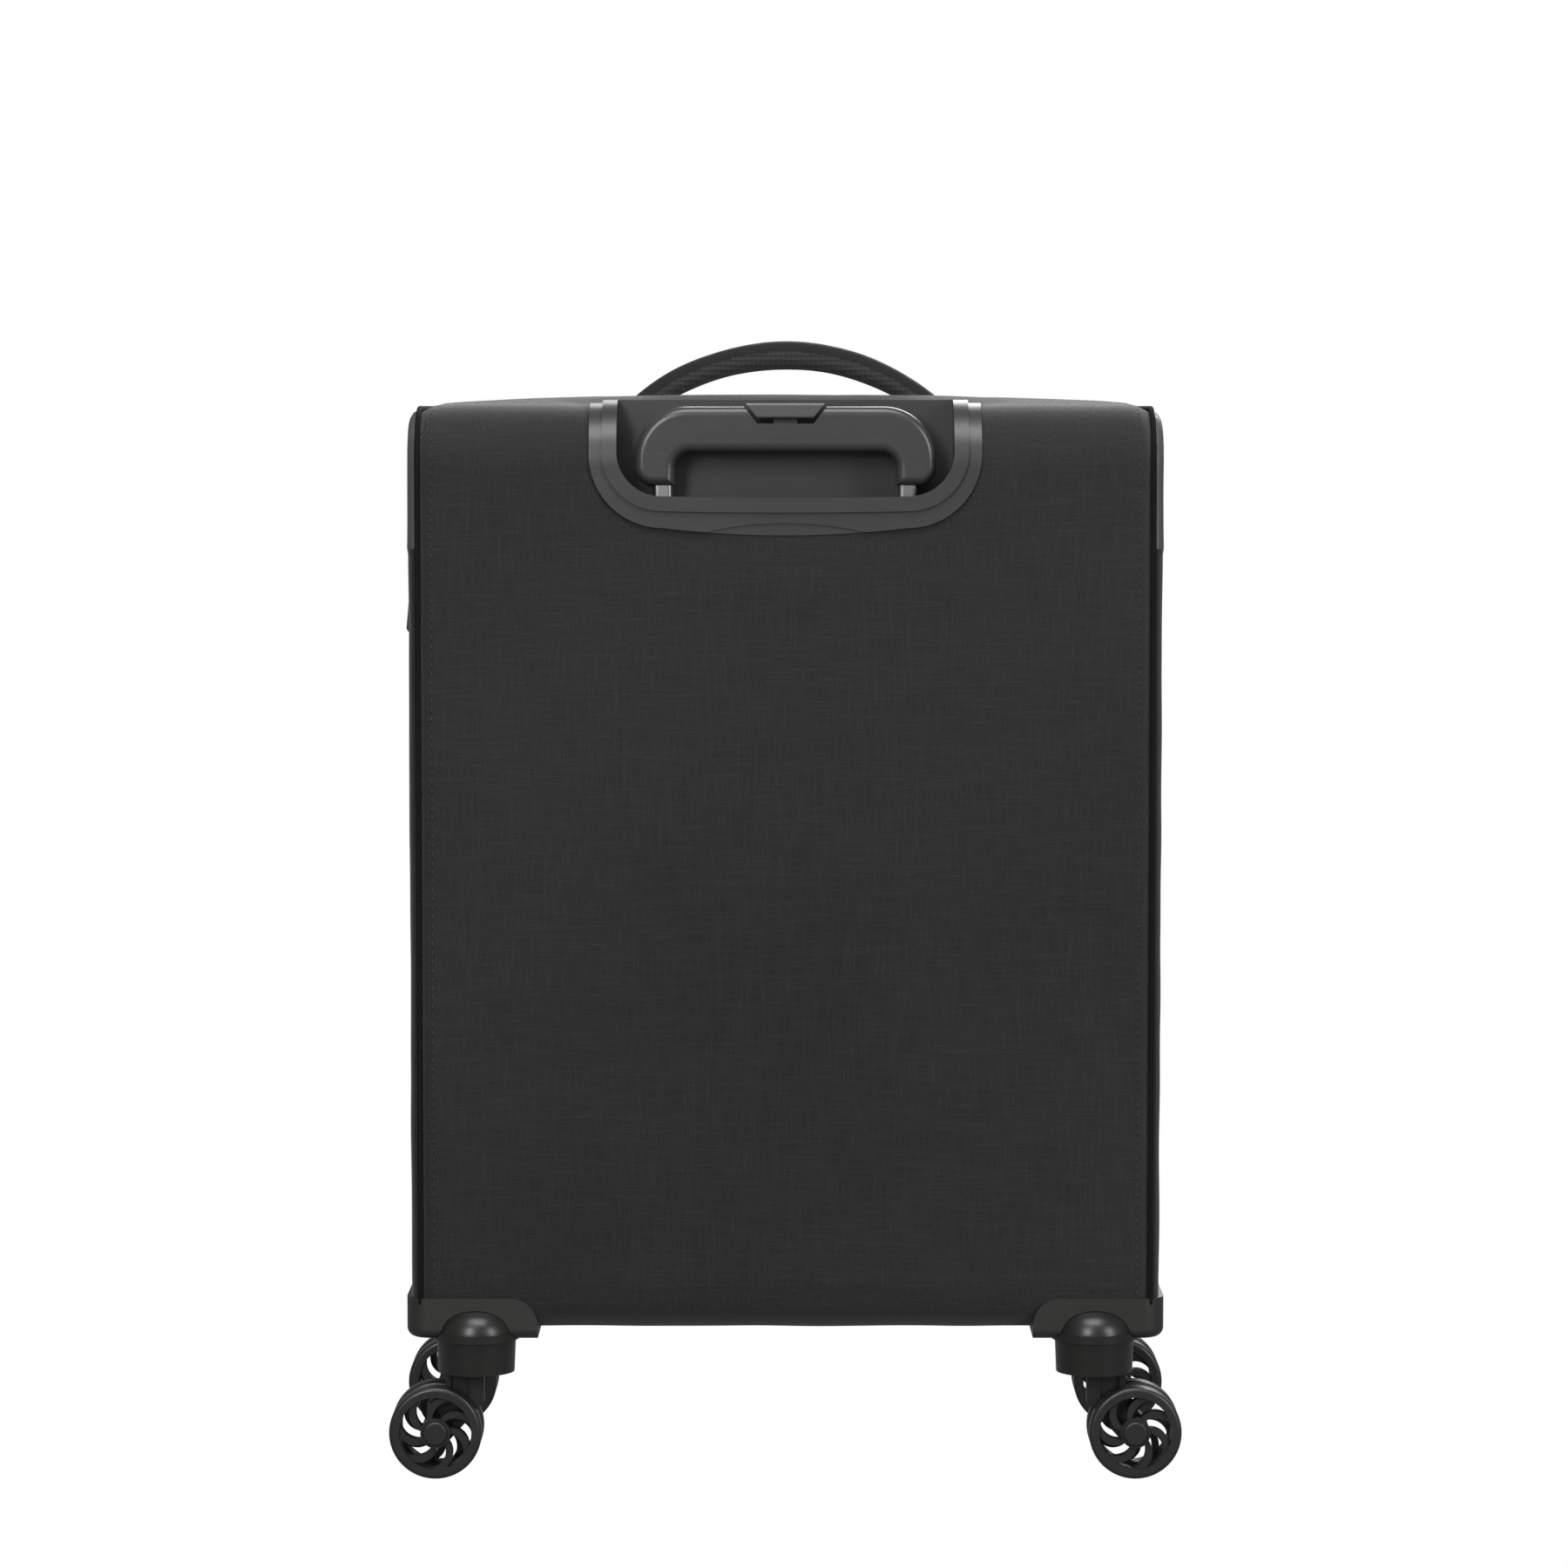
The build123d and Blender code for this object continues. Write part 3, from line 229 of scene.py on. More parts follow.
def ranged(tree, value, low, high):
    """A value from 0 to 1 brought to low to high."""
    made = node(tree, "ShaderNodeMapRange", {"To Min": low, "To Max": high})
    tree.links.new(value, made.inputs["Value"])
    return made.outputs["Result"]


def noise_at(tree, place, scale, stretch=(1.0, 1.0, 1.0), detail=3.0):
    """Noise whose features are drawn out along the axes with the smaller numbers in stretch."""
    mapping = node(tree, "ShaderNodeMapping")
    mapping.inputs["Scale"].default_value = stretch
    tree.links.new(place, mapping.inputs["Vector"])
    texture = node(tree, "ShaderNodeTexNoise", {"Scale": scale, "Detail": detail})
    tree.links.new(mapping.outputs["Vector"], texture.inputs["Vector"])
    return texture.outputs["Fac"]


def bump(tree, shader, height, strength, distance):
    """Relief on the shader from a height socket."""
    made = node(tree, "ShaderNodeBump", {"Strength": strength, "Distance": distance})
    tree.links.new(height, made.inputs["Height"])
    tree.links.new(made.outputs["Normal"], shader.inputs["Normal"])


def threads(tree, place, pitch):
    """Height of a plain weave: warp along Z and weft around the case, each going over and under the other."""
    split = node(tree, "ShaderNodeSeparateXYZ")
    tree.links.new(place, split.inputs[0])
    turn = 2 * math.pi / pitch
    around = maths(tree, "ADD", split.outputs["X"], split.outputs["Y"])
    warp = maths(tree, "SINE", maths(tree, "MULTIPLY", around, turn))
    weft = maths(tree, "SINE", maths(tree, "MULTIPLY", split.outputs["Z"], turn))
    return maths(tree, "MULTIPLY", warp, weft)


def fabric_material(name, dark, light, pitch, rough=0.85, sheen=0.25, slubs=0.65):
    """Woven cloth with long uneven threads both ways; slubs is how much of the relief they make."""
    material, tree, shader, place = new_material(name)
    weave_share = 0.35
    broad_share = 0.22
    slub_stretch = 22.0
    weave = threads(tree, place, pitch)
    across = noise_at(tree, place, scale=60.0, stretch=(1.0, 1.0, slub_stretch), detail=4.0)
    along = noise_at(tree, place, scale=60.0, stretch=(slub_stretch, slub_stretch, 1.0), detail=4.0)
    slub = maths(tree, "MAXIMUM", across, along)
    broad = noise_at(tree, place, scale=5.0)
    height = weighed(tree, weave, weave_share, slub, slubs)
    tone = maths(tree, "ADD", height, maths(tree, "MULTIPLY", broad, broad_share))
    colour = mixed(tree, ranged(tree, tone, low=-0.35, high=1.25), dark, light)
    tree.links.new(colour, shader.inputs["Base Color"])
    tree.links.new(ranged(tree, slub, low=rough - 0.08, high=rough + 0.1), shader.inputs["Roughness"])
    shader.inputs["Sheen Weight"].default_value = sheen
    shader.inputs["Sheen Roughness"].default_value = 0.45
    shader.inputs["Specular IOR Level"].default_value = 0.25
    bump(tree, shader, height, strength=0.55, distance=0.0004)
    return material


def mesh_material(name, dark, light, pitch):
    """Spacer mesh: small round cells in fairly even rows."""
    material, tree, shader, place = new_material(name)
    cells = node(tree, "ShaderNodeTexVoronoi", {"Scale": 1.0 / pitch, "Randomness": 0.12})
    tree.links.new(place, cells.inputs["Vector"])
    height = ranged(tree, cells.outputs["Distance"], low=0.0, high=1.0)
    tree.links.new(mixed(tree, height, dark, light), shader.inputs["Base Color"])
    shader.inputs["Roughness"].default_value = 0.8
    shader.inputs["Sheen Weight"].default_value = 0.2
    bump(tree, shader, height, strength=0.8, distance=0.0008)
    return material


def plastic_material(name, dark, light, rough, grain=900.0, depth=0.00006):
    """Moulded plastic: fine spark-eroded grain, slow changes of gloss, and scuffs."""
    material, tree, shader, place = new_material(name)
    fine = noise_at(tree, place, scale=grain, detail=2.0)
    broad = noise_at(tree, place, scale=14.0)
    scuffs = noise_at(tree, place, scale=70.0, stretch=(1.0, 1.0, 9.0), detail=6.0)
    tone = weighed(tree, broad, 0.7, fine, 0.3)
    tree.links.new(mixed(tree, tone, dark, light), shader.inputs["Base Color"])
    wear = weighed(tree, scuffs, 0.6, broad, 0.4)
    tree.links.new(ranged(tree, wear, low=rough - 0.07, high=rough + 0.1), shader.inputs["Roughness"])
    shader.inputs["Coat Roughness"].default_value = 0.12
    bump(tree, shader, fine, strength=0.5, distance=depth)
    return material


def coated_material(name, dark, light):
    """Smooth coated cloth with a shallow pebble grain."""
    material, tree, shader, place = new_material(name)
    cells = node(tree, "ShaderNodeTexVoronoi", {"Scale": 900.0})
    tree.links.new(place, cells.inputs["Vector"])
    broad = noise_at(tree, place, scale=18.0)
    tree.links.new(mixed(tree, broad, dark, light), shader.inputs["Base Color"])
    tree.links.new(ranged(tree, broad, low=0.42, high=0.55), shader.inputs["Roughness"])
    bump(tree, shader, cells.outputs["Distance"], strength=0.25, distance=0.0002)
    return material


def metal_material(name, tint, rough, stretch):
    """Drawn or turned metal; its fine lines run along the axes with the smaller numbers in stretch."""
    material, tree, shader, place = new_material(name)
    lines = noise_at(tree, place, scale=500.0, stretch=stretch, detail=4.0)
    broad = noise_at(tree, place, scale=25.0)
    darker = tuple(0.8 * channel for channel in tint)
    tree.links.new(mixed(tree, broad, darker, tint), shader.inputs["Base Color"])
    tree.links.new(ranged(tree, lines, low=rough - 0.06, high=rough + 0.1), shader.inputs["Roughness"])
    shader.inputs["Metallic"].default_value = 1.0
    bump(tree, shader, lines, strength=0.25, distance=0.00004)
    return material


black_fabric = fabric_material(
    "black_slub_fabric", (0.0012, 0.0012, 0.0013), (0.0340, 0.0340, 0.0345), pitch=0.0011
)
side_fabric = fabric_material("side_fabric", (0.0028, 0.0028, 0.0030), (0.0260, 0.0260, 0.0265), pitch=0.0011)
band_fabric = fabric_material(
    "handle_fabric", (0.006, 0.006, 0.0065), (0.026, 0.026, 0.027),
    pitch=0.0007, rough=0.7, sheen=0.1, slubs=0.2,
)
webbing = fabric_material(
    "strap_webbing", (0.010, 0.010, 0.011), (0.04, 0.04, 0.044),
    pitch=0.0016, rough=0.75, sheen=0.1, slubs=0.25,
)
lining = fabric_material(
    "lining_cloth", (0.05, 0.05, 0.055), (0.13, 0.13, 0.14),
    pitch=0.0008, rough=0.8, sheen=0.1, slubs=0.3,
)
tape = fabric_material(
    "zip_tape", (0.004, 0.004, 0.0045), (0.02, 0.02, 0.021),
    pitch=0.0009, rough=0.8, sheen=0.1, slubs=0.2,
)
spacer_mesh = mesh_material("handle_mesh", (0.001, 0.001, 0.001), (0.022, 0.022, 0.021), pitch=0.0026)
patch_coating = coated_material("coated_patch", (0.050, 0.049, 0.045), (0.075, 0.073, 0.068))
piping_cover = fabric_material(
    "piping_cover", (0.001, 0.001, 0.001), (0.006, 0.006, 0.006),
    pitch=0.0009, rough=0.9, sheen=0.0, slubs=0.2,
)
thread = plastic_material(
    "sewing_thread", (0.008, 0.008, 0.0085), (0.022, 0.022, 0.023), rough=0.6, grain=3000.0
)
cup_plastic = plastic_material("cup_plastic", (0.020, 0.020, 0.0198), (0.032, 0.032, 0.0312), rough=0.36)
grip_plastic = plastic_material("grip_plastic", (0.026, 0.026, 0.026), (0.040, 0.040, 0.039), rough=0.30)
button_plastic = plastic_material("button_plastic", (0.050, 0.050, 0.052), (0.075, 0.075, 0.078), rough=0.32)
guard_plastic = plastic_material(
    "guard_plastic", (0.012, 0.0117, 0.0105), (0.022, 0.0215, 0.0195),
    rough=0.42, grain=700.0, depth=0.0001,
)
housing_plastic = plastic_material(
    "housing_plastic", (0.006, 0.006, 0.0055), (0.012, 0.012, 0.011),
    rough=0.33, grain=1200.0, depth=0.00003,
)
fork_plastic = plastic_material("fork_plastic", (0.007, 0.007, 0.0065), (0.014, 0.014, 0.013), rough=0.4)
wheel_plastic = plastic_material(
    "wheel_plastic", (0.009, 0.009, 0.0086), (0.018, 0.018, 0.0172), rough=0.36, grain=800.0
)
tray_plastic = plastic_material("tray_plastic", (0.012, 0.012, 0.012), (0.022, 0.022, 0.022), rough=0.5)
chain_plastic = plastic_material("zip_coil", (0.006, 0.006, 0.006), (0.018, 0.018, 0.018), rough=0.32)
lock_plastic = plastic_material("lock_plastic", (0.014, 0.014, 0.014), (0.026, 0.026, 0.026), rough=0.30)
tube_metal = metal_material("anodised_tube", (0.30, 0.305, 0.315), rough=0.36, stretch=(1.0, 1.0, 40.0))
steel = metal_material("steel", (0.52, 0.52, 0.54), rough=0.3, stretch=(40.0, 40.0, 1.0))
dark_metal = metal_material("dark_metal", (0.16, 0.16, 0.17), rough=0.32, stretch=(1.0, 40.0, 1.0))

# Start of a hard node's name, and its material
node_finishes = {
    "corner_guard": guard_plastic, "caster_housing": housing_plastic, "caster_fork": fork_plastic,
    "axle": fork_plastic, "wheel": wheel_plastic, "handle_cup": cup_plastic, "grip_rear": grip_plastic,
    "grip_front": grip_plastic, "grip_button": button_plastic, "push_rods": steel, "swivel_pins": steel,
    "screws": dark_metal, "outer_tubes": tube_metal, "middle_tubes": tube_metal, "inner_tubes": tube_metal,
    "cup_collars": fork_plastic, "middle_collars": fork_plastic, "tube_foot": tray_plastic,
    "base_tray": tray_plastic, "frame_hoops": steel, "tube_cover": lining, "packing_straps": webbing,
    "main_zip": tape, "pocket_zips": tape, "main_puller": dark_metal, "pocket_puller": dark_metal,
    "lock_body": lock_plastic, "lock_dial": dark_metal, "lock_release": dark_metal,
}


def finish_nodes():
    """Gives each hard node its material and softens its moulded edges."""
    for name, obj in nodes.items():
        for start, material in node_finishes.items():
            if name.startswith(start):
                obj.data.materials.clear()
                obj.data.materials.append(material)
        if name.startswith(("handle_cup", "corner_guard", "grip_", "lock_body")):
            rounding = obj.modifiers.new("soft_edges", "BEVEL")
            rounding.width = edge_rounding
            rounding.segments = edge_rounding_steps
            rounding.limit_method = "ANGLE"
            rounding.angle_limit = math.radians(edge_angle)


# ---------------------------------------------------------------- helpers for pieces
def smooth_faces(mesh):
    for polygon in mesh.polygons:
        polygon.use_smooth = True


def piece(name, mesh, materials, body):
    """A smooth object of the mesh, riding on its body if it has only one."""
    made = bpy.data.objects.new(name, mesh)
    bpy.context.scene.collection.objects.link(made)
    for material in materials:
        mesh.materials.append(material)
    smooth_faces(mesh)
    if body:
        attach(made, body)
    return made


def apply_modifiers(obj):
    """Makes the object's modifiers part of its mesh."""
    graph = bpy.context.evaluated_depsgraph_get()
    shaped = bpy.data.meshes.new_from_object(obj.evaluated_get(graph))
    obj.modifiers.clear()
    obj.data = shaped
    smooth_faces(shaped)


def thicken(obj, thickness, offset, inner_material=0):
    """Makes a sheet a solid cloth; offset -1 puts all of it behind the sheet, and 0 half on each side."""
    solid = obj.modifiers.new("padding", "SOLIDIFY")
    solid.thickness = thickness
    solid.offset = offset
    solid.material_offset = inner_material
    apply_modifiers(obj)


def face_outwards(obj, centre):
    """Turns a fabric sheet so that its normals point away from the case."""
    total = sum((polygon.center - centre).dot(polygon.normal) for polygon in obj.data.polygons)
    if total < 0:
        obj.data.flip_normals()


def faces_between(shell, rows, left_out=lambda middle: False):
    """Quads between rows of vertices, without those whose middle is left out."""
    for lower, upper in zip(rows, rows[1:]):
        for column in range(len(lower) - 1):
            corners = (lower[column], lower[column + 1], upper[column + 1], upper[column])
            middle = sum((vertex.co for vertex in corners), Vector()) / 4
            if not left_out(middle):
                shell.faces.new(corners)


def unevenness(point):
    """Height of the fabric's slow ripples at a point."""
    return slack * noise.noise(point / ripple_size)


def arc_points(centre, radius, start, end, steps):
    """Points of an arc in the YZ plane, by angles in degrees from +Y towards +Z."""
    angles = [math.radians(start + (end - start) * index / steps) for index in range(steps + 1)]
    return [(centre[0] + radius * math.cos(angle), centre[1] + radius * math.sin(angle)) for angle in angles]


def rounded_rectangle(half, low, high, y, radius, steps):
    """Points round a rectangle that faces along Y; half, low and high are its corners' centres in X and Z."""
    centres = ((half, high), (-half, high), (-half, low), (half, low))
    points = []
    for corner, (centre_x, centre_z) in enumerate(centres):
        for index in range(steps + 1):
            angle = math.radians(90 * corner + 90 * index / steps)
            points.append((centre_x + radius * math.cos(angle), y, centre_z + radius * math.sin(angle)))
    return points


def even_points(path, step):
    """The same path with points about one step apart."""
    out = [path[0]]
    for start, end in zip(path, path[1:]):
        length = math.dist(start, end)
        count = max(1, round(length / step))
        for index in range(1, count + 1):
            share = index / count
            out.append(tuple(a + (b - a) * share for a, b in zip(start, end)))
    return out


def band_path():
    """The case's outline in the YZ plane: top, roll, rear, hem, underside and front of the base."""
    under = base_z - under_gap
    path = [(zip_y, top_z)]
    path += arc_points((rear_y + roll_radius, top_z - roll_radius), roll_radius, 90, 180, roll_steps)
    path += arc_points((rear_y + hem_radius, under + hem_radius), hem_radius, 180, 270, hem_steps)
    path += arc_points((face_y - hem_radius, under + hem_radius), hem_radius, 270, 360, hem_steps)
    path += [(face_y, lid_low.z - base_front_gap)]
    return even_points(path, grid_step)


def normals_of(path):
    """Outward unit normals of the band's path, each from the points before and after it."""
    out = []
    for index in range(len(path)):
        before = path[max(index - 1, 0)]
        after = path[min(index + 1, len(path) - 1)]
        along = Vector((after[0] - before[0], after[1] - before[1])).normalized()
        out.append(Vector((along.y, -along.x)))
    return out


# ---------------------------------------------------------------- fabric shell
def outside_cup(x, y, z):
    """How far a point of the band lies beyond the cup's flange, below zero under it."""
    return max(abs(x) - cup_high.x, y - cup_high.y, cup_low.z - z)


def in_cup(middle):
    """Whether a point of the band lies inside the cup's opening."""
    half = cup_high.x - cup_side_cover
    foot = cup_low.z + cup_foot_cover
    inside = abs(middle.x) < half and middle.y < cup_high.y - cup_top_cover and middle.z > foot
    corner = Vector((abs(middle.x) - (half - cup_corner), (foot + cup_corner) - middle.z))
    rounded = corner.x > 0 and corner.y > 0 and corner.length > cup_corner
    return inside and not rounded


def band_rise(x, y, z):
    """How far the band stands proud of its path at a point."""
    across = max(0.0, 1 - (x / seam_x) ** 2)
    edge = min(1.0, (seam_x - abs(x)) / edge_width)
    proud = crown * across ** crown_power
    from_roll = y - rear_y - roll_radius
    if z > top_z - top_margin and from_roll > 0:
        proud += top_crown * across ** top_power * min(1.0, from_roll / top_start)
        proud *= min(1.0, (zip_y - y) / top_end)
    if z < base_z + base_zone:
        proud *= base_share
    proud += edge * unevenness(Vector((x, y, z))) - edge_drop * (1 - edge) ** 2
    free = min(1.0, max(0.0, outside_cup(x, y, z)) / flange_blend)
    return under_flange + (proud - under_flange) * free


def make_band():
    """One continuous padded band: top, rear, underside and the front edge of the base."""
    path = band_path()
    columns = round(2 * seam_x / grid_step)
    shell = bmesh.new()
    rows = []
    for (y, z), normal in zip(path, normals_of(path)):
        row = []
        for column in range(columns + 1):
            x = -seam_x + 2 * seam_x * column / columns
            proud = band_rise(x, y, z)
            row.append(shell.verts.new((x, y + normal.x * proud, z + normal.y * proud)))
        rows.append(row)
    faces_between(shell, rows, in_cup)
    bmesh.ops.delete(shell, geom=[v for v in shell.verts if not v.link_faces], context="VERTS")
    bmesh.ops.recalc_face_normals(shell, faces=shell.faces)
    mesh = bpy.data.meshes.new("rear_top_fabric")
    shell.to_mesh(mesh)
    made = piece("rear_top_fabric", mesh, [black_fabric, lining], "case")
    face_outwards(made, Vector((0, (rear_y + face_y) / 2, top_z / 2)))
    thicken(made, skin_thickness, offset=-1.0, inner_material=lining_index)
    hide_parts("rear_panel", "top_panel")


def onto_panel(y, z):
    """A point of the side panel moved onto its rounded outline if it lies beyond it, and its depth inside."""
    low = base_z + side_drop
    high = top_z - side_drop
    edge_y = rear_y + side_drop
    y = max(y, edge_y)
    z = min(max(z, low), high)
    depth = min(y - edge_y, high - z, z - low)
    top_radius = roll_radius - side_drop
    low_radius = hem_radius - side_drop
    for centre_z, radius, sign in ((high - top_radius, top_radius, 1), (low + low_radius, low_radius, -1)):
        offset = Vector((edge_y + radius - y, sign * (z - centre_z)))
        if offset.x > 0 and offset.y > 0:
            depth = min(depth, radius - offset.length)
            if depth < 0:
                offset = offset.normalized() * radius
                y = edge_y + radius - offset.x
                z = centre_z + sign * offset.y
    return y, z, depth


def make_side(name, sign, cad_name):
    """A side panel with the coated patch over its upper end, curved in to the piping all round."""
    shell = bmesh.new()
    depth = zip_y - rear_y
    height = top_z - base_z
    columns = round(depth / side_step)
    levels = round(height / side_step)
    grid = {}
    for column in range(columns + 1):
        for level in range(levels + 1):
            y, z, inside = onto_panel(rear_y + depth * column / columns, base_z + height * level / levels)
            if inside < -side_step:
                continue
            edge = min(1.0, max(0.0, inside) / side_edge)
            round_in = 1 - math.sqrt(max(0.0, 1 - (1 - edge) ** 2))
            rise = -side_round * round_in + unevenness(Vector((sign * side_noise, y, z)))
            rise += side_bulge * math.sin(math.pi * column / columns)
            if z > top_z - patch_height:
                rise += patch_rise
            grid[column, level] = shell.verts.new((sign * (side_x - side_inset + rise), y, z))
    for column, level in itertools.product(range(columns), range(levels)):
        corners = [(column, level), (column + 1, level), (column + 1, level + 1), (column, level + 1)]
        if all(corner in grid for corner in corners):
            shell.faces.new([grid[corner] for corner in corners])
    mesh = bpy.data.meshes.new(name)
    shell.to_mesh(mesh)
    made = piece(name, mesh, [side_fabric, lining, patch_coating], "case")
    for polygon in mesh.polygons:
        if polygon.center.z > top_z - patch_height:
            polygon.material_index = patch_index
    face_outwards(made, Vector((0, 0, top_z / 2)))
    thicken(made, skin_thickness, offset=-1.0)
    for polygon in made.data.polygons:
        if polygon.normal.x * sign < inner_facing:
            polygon.material_index = lining_index
    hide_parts(cad_name)


def soft_copy(name, cad_name, materials, body, size, smoothing, puff):
    """A padded piece grown from its plain solid: remeshed, relaxed and slightly crowned."""
    mesh = nodes[cad_name].data.copy()
    mesh.materials.clear()
    made = piece(name, mesh, materials, body)
    remesh = made.modifiers.new("remesh", "REMESH")
    remesh.mode = "VOXEL"
    remesh.voxel_size = size
    relax = made.modifiers.new("relax", "SMOOTH")
    relax.factor = relax_share
    relax.iterations = smoothing
    apply_modifiers(made)
    low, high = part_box(cad_name)
    middle = (low + high) / 2
    half = (high - low) / 2
    for vertex in made.data.vertices:
        share_x = max(0.0, 1 - ((vertex.co.x - middle.x) / half.x) ** 2)
        share_z = max(0.0, 1 - ((vertex.co.z - middle.z) / half.z) ** 2)
        rise = puff * math.sqrt(share_x * share_z) + unevenness(vertex.co)
        vertex.co += vertex.normal * rise
    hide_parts(cad_name)
    return made


def make_lid():
    """The padded lid, lined inside, and the pocket on its face."""
    lid = soft_copy(
        "lid_fabric", "lid_panel", [black_fabric, lining], "lid", size=voxel, smoothing=3, puff=0.0012
    )
    for polygon in lid.data.polygons:
        inner = polygon.center.y < face_y - lid_skin and abs(polygon.center.x) < side_x - lid_rim
        inner = inner and lid_low.z + lid_rim < polygon.center.z < top_z - lid_rim
        polygon.material_index = lining_index if inner else 0
    pocket = soft_copy(
        "front_pocket_fabric", "front_pocket", [black_fabric], "lid", size=voxel, smoothing=6, puff=0.0040
    )


def make_hinge_tape():
    """A strip of cloth over the lid's hinge line, sewn to the side panel and to the lid."""
    zip_middle = (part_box("main_zip")[0].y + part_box("main_zip")[1].y) / 2
    low = lid_low.z + tape_end_gap
    high = top_z - tape_end_gap
    levels = round((high - low) / grid_step)
    strip = bmesh.new()
    rows = []
    for level in range(levels + 1):
        z = low + (high - low) * level / levels
        row = []
        for column in range(tape_columns + 1):
            share = 2 * column / tape_columns - 1
            ripple = tape_ripple * unevenness(Vector((tape_noise, share, z)))
            x = side_x + tape_rise * (1 - share ** 2) + ripple
            row.append(strip.verts.new((x, zip_middle + share * tape_half_width, z)))
        rows.append(row)
    faces_between(strip, rows)
    mesh = bpy.data.meshes.new("hinge_tape")
    strip.to_mesh(mesh)
    made = piece("hinge_tape", mesh, [tape], None)
    thicken(made, tape_thickness, offset=0.0)
    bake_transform(made)


def make_carry_handle():
    """The padded arch: smooth fabric outside and on its feet, and spacer mesh below."""
    handle = soft_copy(
        "padded_carry_handle", "carry_handle", [band_fabric, spacer_mesh], "case",
        size=carry_voxel, smoothing=4, puff=0.0,
    )
    rise = carry_high.z - carry_low.z
    half_span = carry_high.x - carry_foot
    arch_radius = (half_span ** 2 + rise ** 2) / (2 * rise)
    centre_z = carry_high.z - arch_radius
    for polygon in handle.data.polygons:
        radial = math.hypot(polygon.center.x, polygon.center.z - centre_z)
        below = radial < arch_radius - carry_smooth
        polygon.material_index = 1 if below and polygon.center.z > carry_low.z + carry_base else 0


# ---------------------------------------------------------------- piping, zip coils and stitching
def tube_piece(name, points, radius, material, body, closed=False):
    """A round cord along a line of points, as a mesh."""
    curve = bpy.data.curves.new(name, "CURVE")
    curve.dimensions = "3D"
    curve.bevel_depth = radius
    curve.bevel_resolution = 3
    spline = curve.splines.new("POLY")
    spline.points.add(len(points) - 1)
    for target, point in zip(spline.points, points):
        target.co = (*point, 1)
    spline.use_cyclic_u = closed
    route = bpy.data.objects.new(name + "_route", curve)
    bpy.context.scene.collection.objects.link(route)
    graph = bpy.context.evaluated_depsgraph_get()
    mesh = bpy.data.meshes.new_from_object(route.evaluated_get(graph))
    bpy.data.objects.remove(route)
    made = piece(name, mesh, [material], body)


def seam_route(x, proud):
    """Along the band's edge from the zip over the roll and down to the base."""
    path = list(itertools.takewhile(lambda point: point[1] >= base_z + piping_foot, band_path()))
    return [Vector((x, y + n.x * proud, z + n.y * proud)) for (y, z), n in zip(path, normals_of(path))]


def lid_outline(inset, y):
    """A round-cornered line round the lid, this far within its edges."""
    within = inset + lid_corner
    corners = rounded_rectangle(
        side_x - within, lid_low.z + within, top_z - within, y, lid_corner, lid_corner_steps
    )
    return [Vector(point) for point in corners]


def make_seams():
    """Piping down both edges of the band and round the face of the lid."""
    for name, sign in (("piping_left", -1), ("piping_right", 1)):
        route = seam_route(sign * (seam_x + piping_out), -piping_sunk)
        tube_piece(name, route, piping_radius, piping_cover, "case")
    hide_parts("body_piping")
    outline = lid_outline(lid_piping_inset, face_y - lid_piping_sunk)
    tube_piece("lid_piping", outline, piping_radius, piping_cover, "lid", closed=True)


def stitches(name, routes, body, normal_of):
    """Short raised threads along each route, each a ring of four points with a ridge of two over it."""
    shell = bmesh.new()
    for route in routes:
        travelled = 0.0
        for start, end in zip(route, route[1:]):
            length = (end - start).length
            along = (end - start).normalized()
            while travelled < length:
                centre = start + along * travelled
                up = normal_of(centre)
                side = along.cross(up) * stitch_radius
                half = along * stitch_length / 2
                top = centre + up * stitch_radius
                ring = [centre - half, centre + side, centre + half, centre - side]
                ridge = [top - half * stitch_ridge, top + half * stitch_ridge]
                points = [shell.verts.new(point) for point in ring + ridge]
                for corners in stitch_faces:
                    shell.faces.new([points[corner] for corner in corners])
                travelled += stitch_pitch
            travelled -= length
    mesh = bpy.data.meshes.new(name)
    shell.to_mesh(mesh)
    made = piece(name, mesh, [thread], body)


def make_stitching():
    """Topstitching beside the seams of the band, under the coated patches and round the lid."""
    def from_band(point):
        over = point.z > top_z - roll_radius and point.y > rear_y + roll_radius
        return Vector((0, 0, 1)) if over else Vector((0, -1, stitch_lean)).normalized()

    def from_side(point):
        return Vector((math.copysign(1, point.x), 0, 0))

    def from_lid(point):
        return Vector((0, 1, 0))

    band_rows = [seam_route(sign * (seam_x - band_stitch_inset), band_stitch_lift) for sign in (-1, 1)]
    stitches("band_stitching", band_rows, "case", from_band)
    patch_x = side_x - patch_stitch_sunk
    patch_z = top_z - patch_height + patch_stitch_rise
    patch_ends = (rear_y + patch_stitch_rear, zip_y - patch_stitch_front)
    side_rows = [[Vector((sign * patch_x, y, patch_z)) for y in patch_ends] for sign in (-1, 1)]
    stitches("patch_stitching", side_rows, "case", from_side)
    rim = lid_outline(lid_stitch_inset, face_y + lid_stitch_lift)
    stitches("lid_stitching", [rim + rim[:1]], "lid", from_lid)


def zip_coil(name, route, reach, body):
    """A zip's coil: a row of beads along a route, each with these half sizes along X, Y and Z."""
    template = bmesh.new()
    bmesh.ops.create_uvsphere(template, u_segments=bead_segments, v_segments=bead_rings, radius=1.0)
    corners = [vertex.co.copy() for vertex in template.verts]
    sides = [[vertex.index for vertex in face.verts] for face in template.faces]
    places = []
    faces = []
    for point in even_points(route, coil_pitch):
        first = len(places)
        places += [[p + r * c for p, r, c in zip(point, reach, corner)] for corner in corners]
        faces += [[first + index for index in side] for side in sides]
    mesh = bpy.data.meshes.new(name)
    mesh.from_pydata(places, [], faces)
    made = piece(name, mesh, [chain_plastic], body)


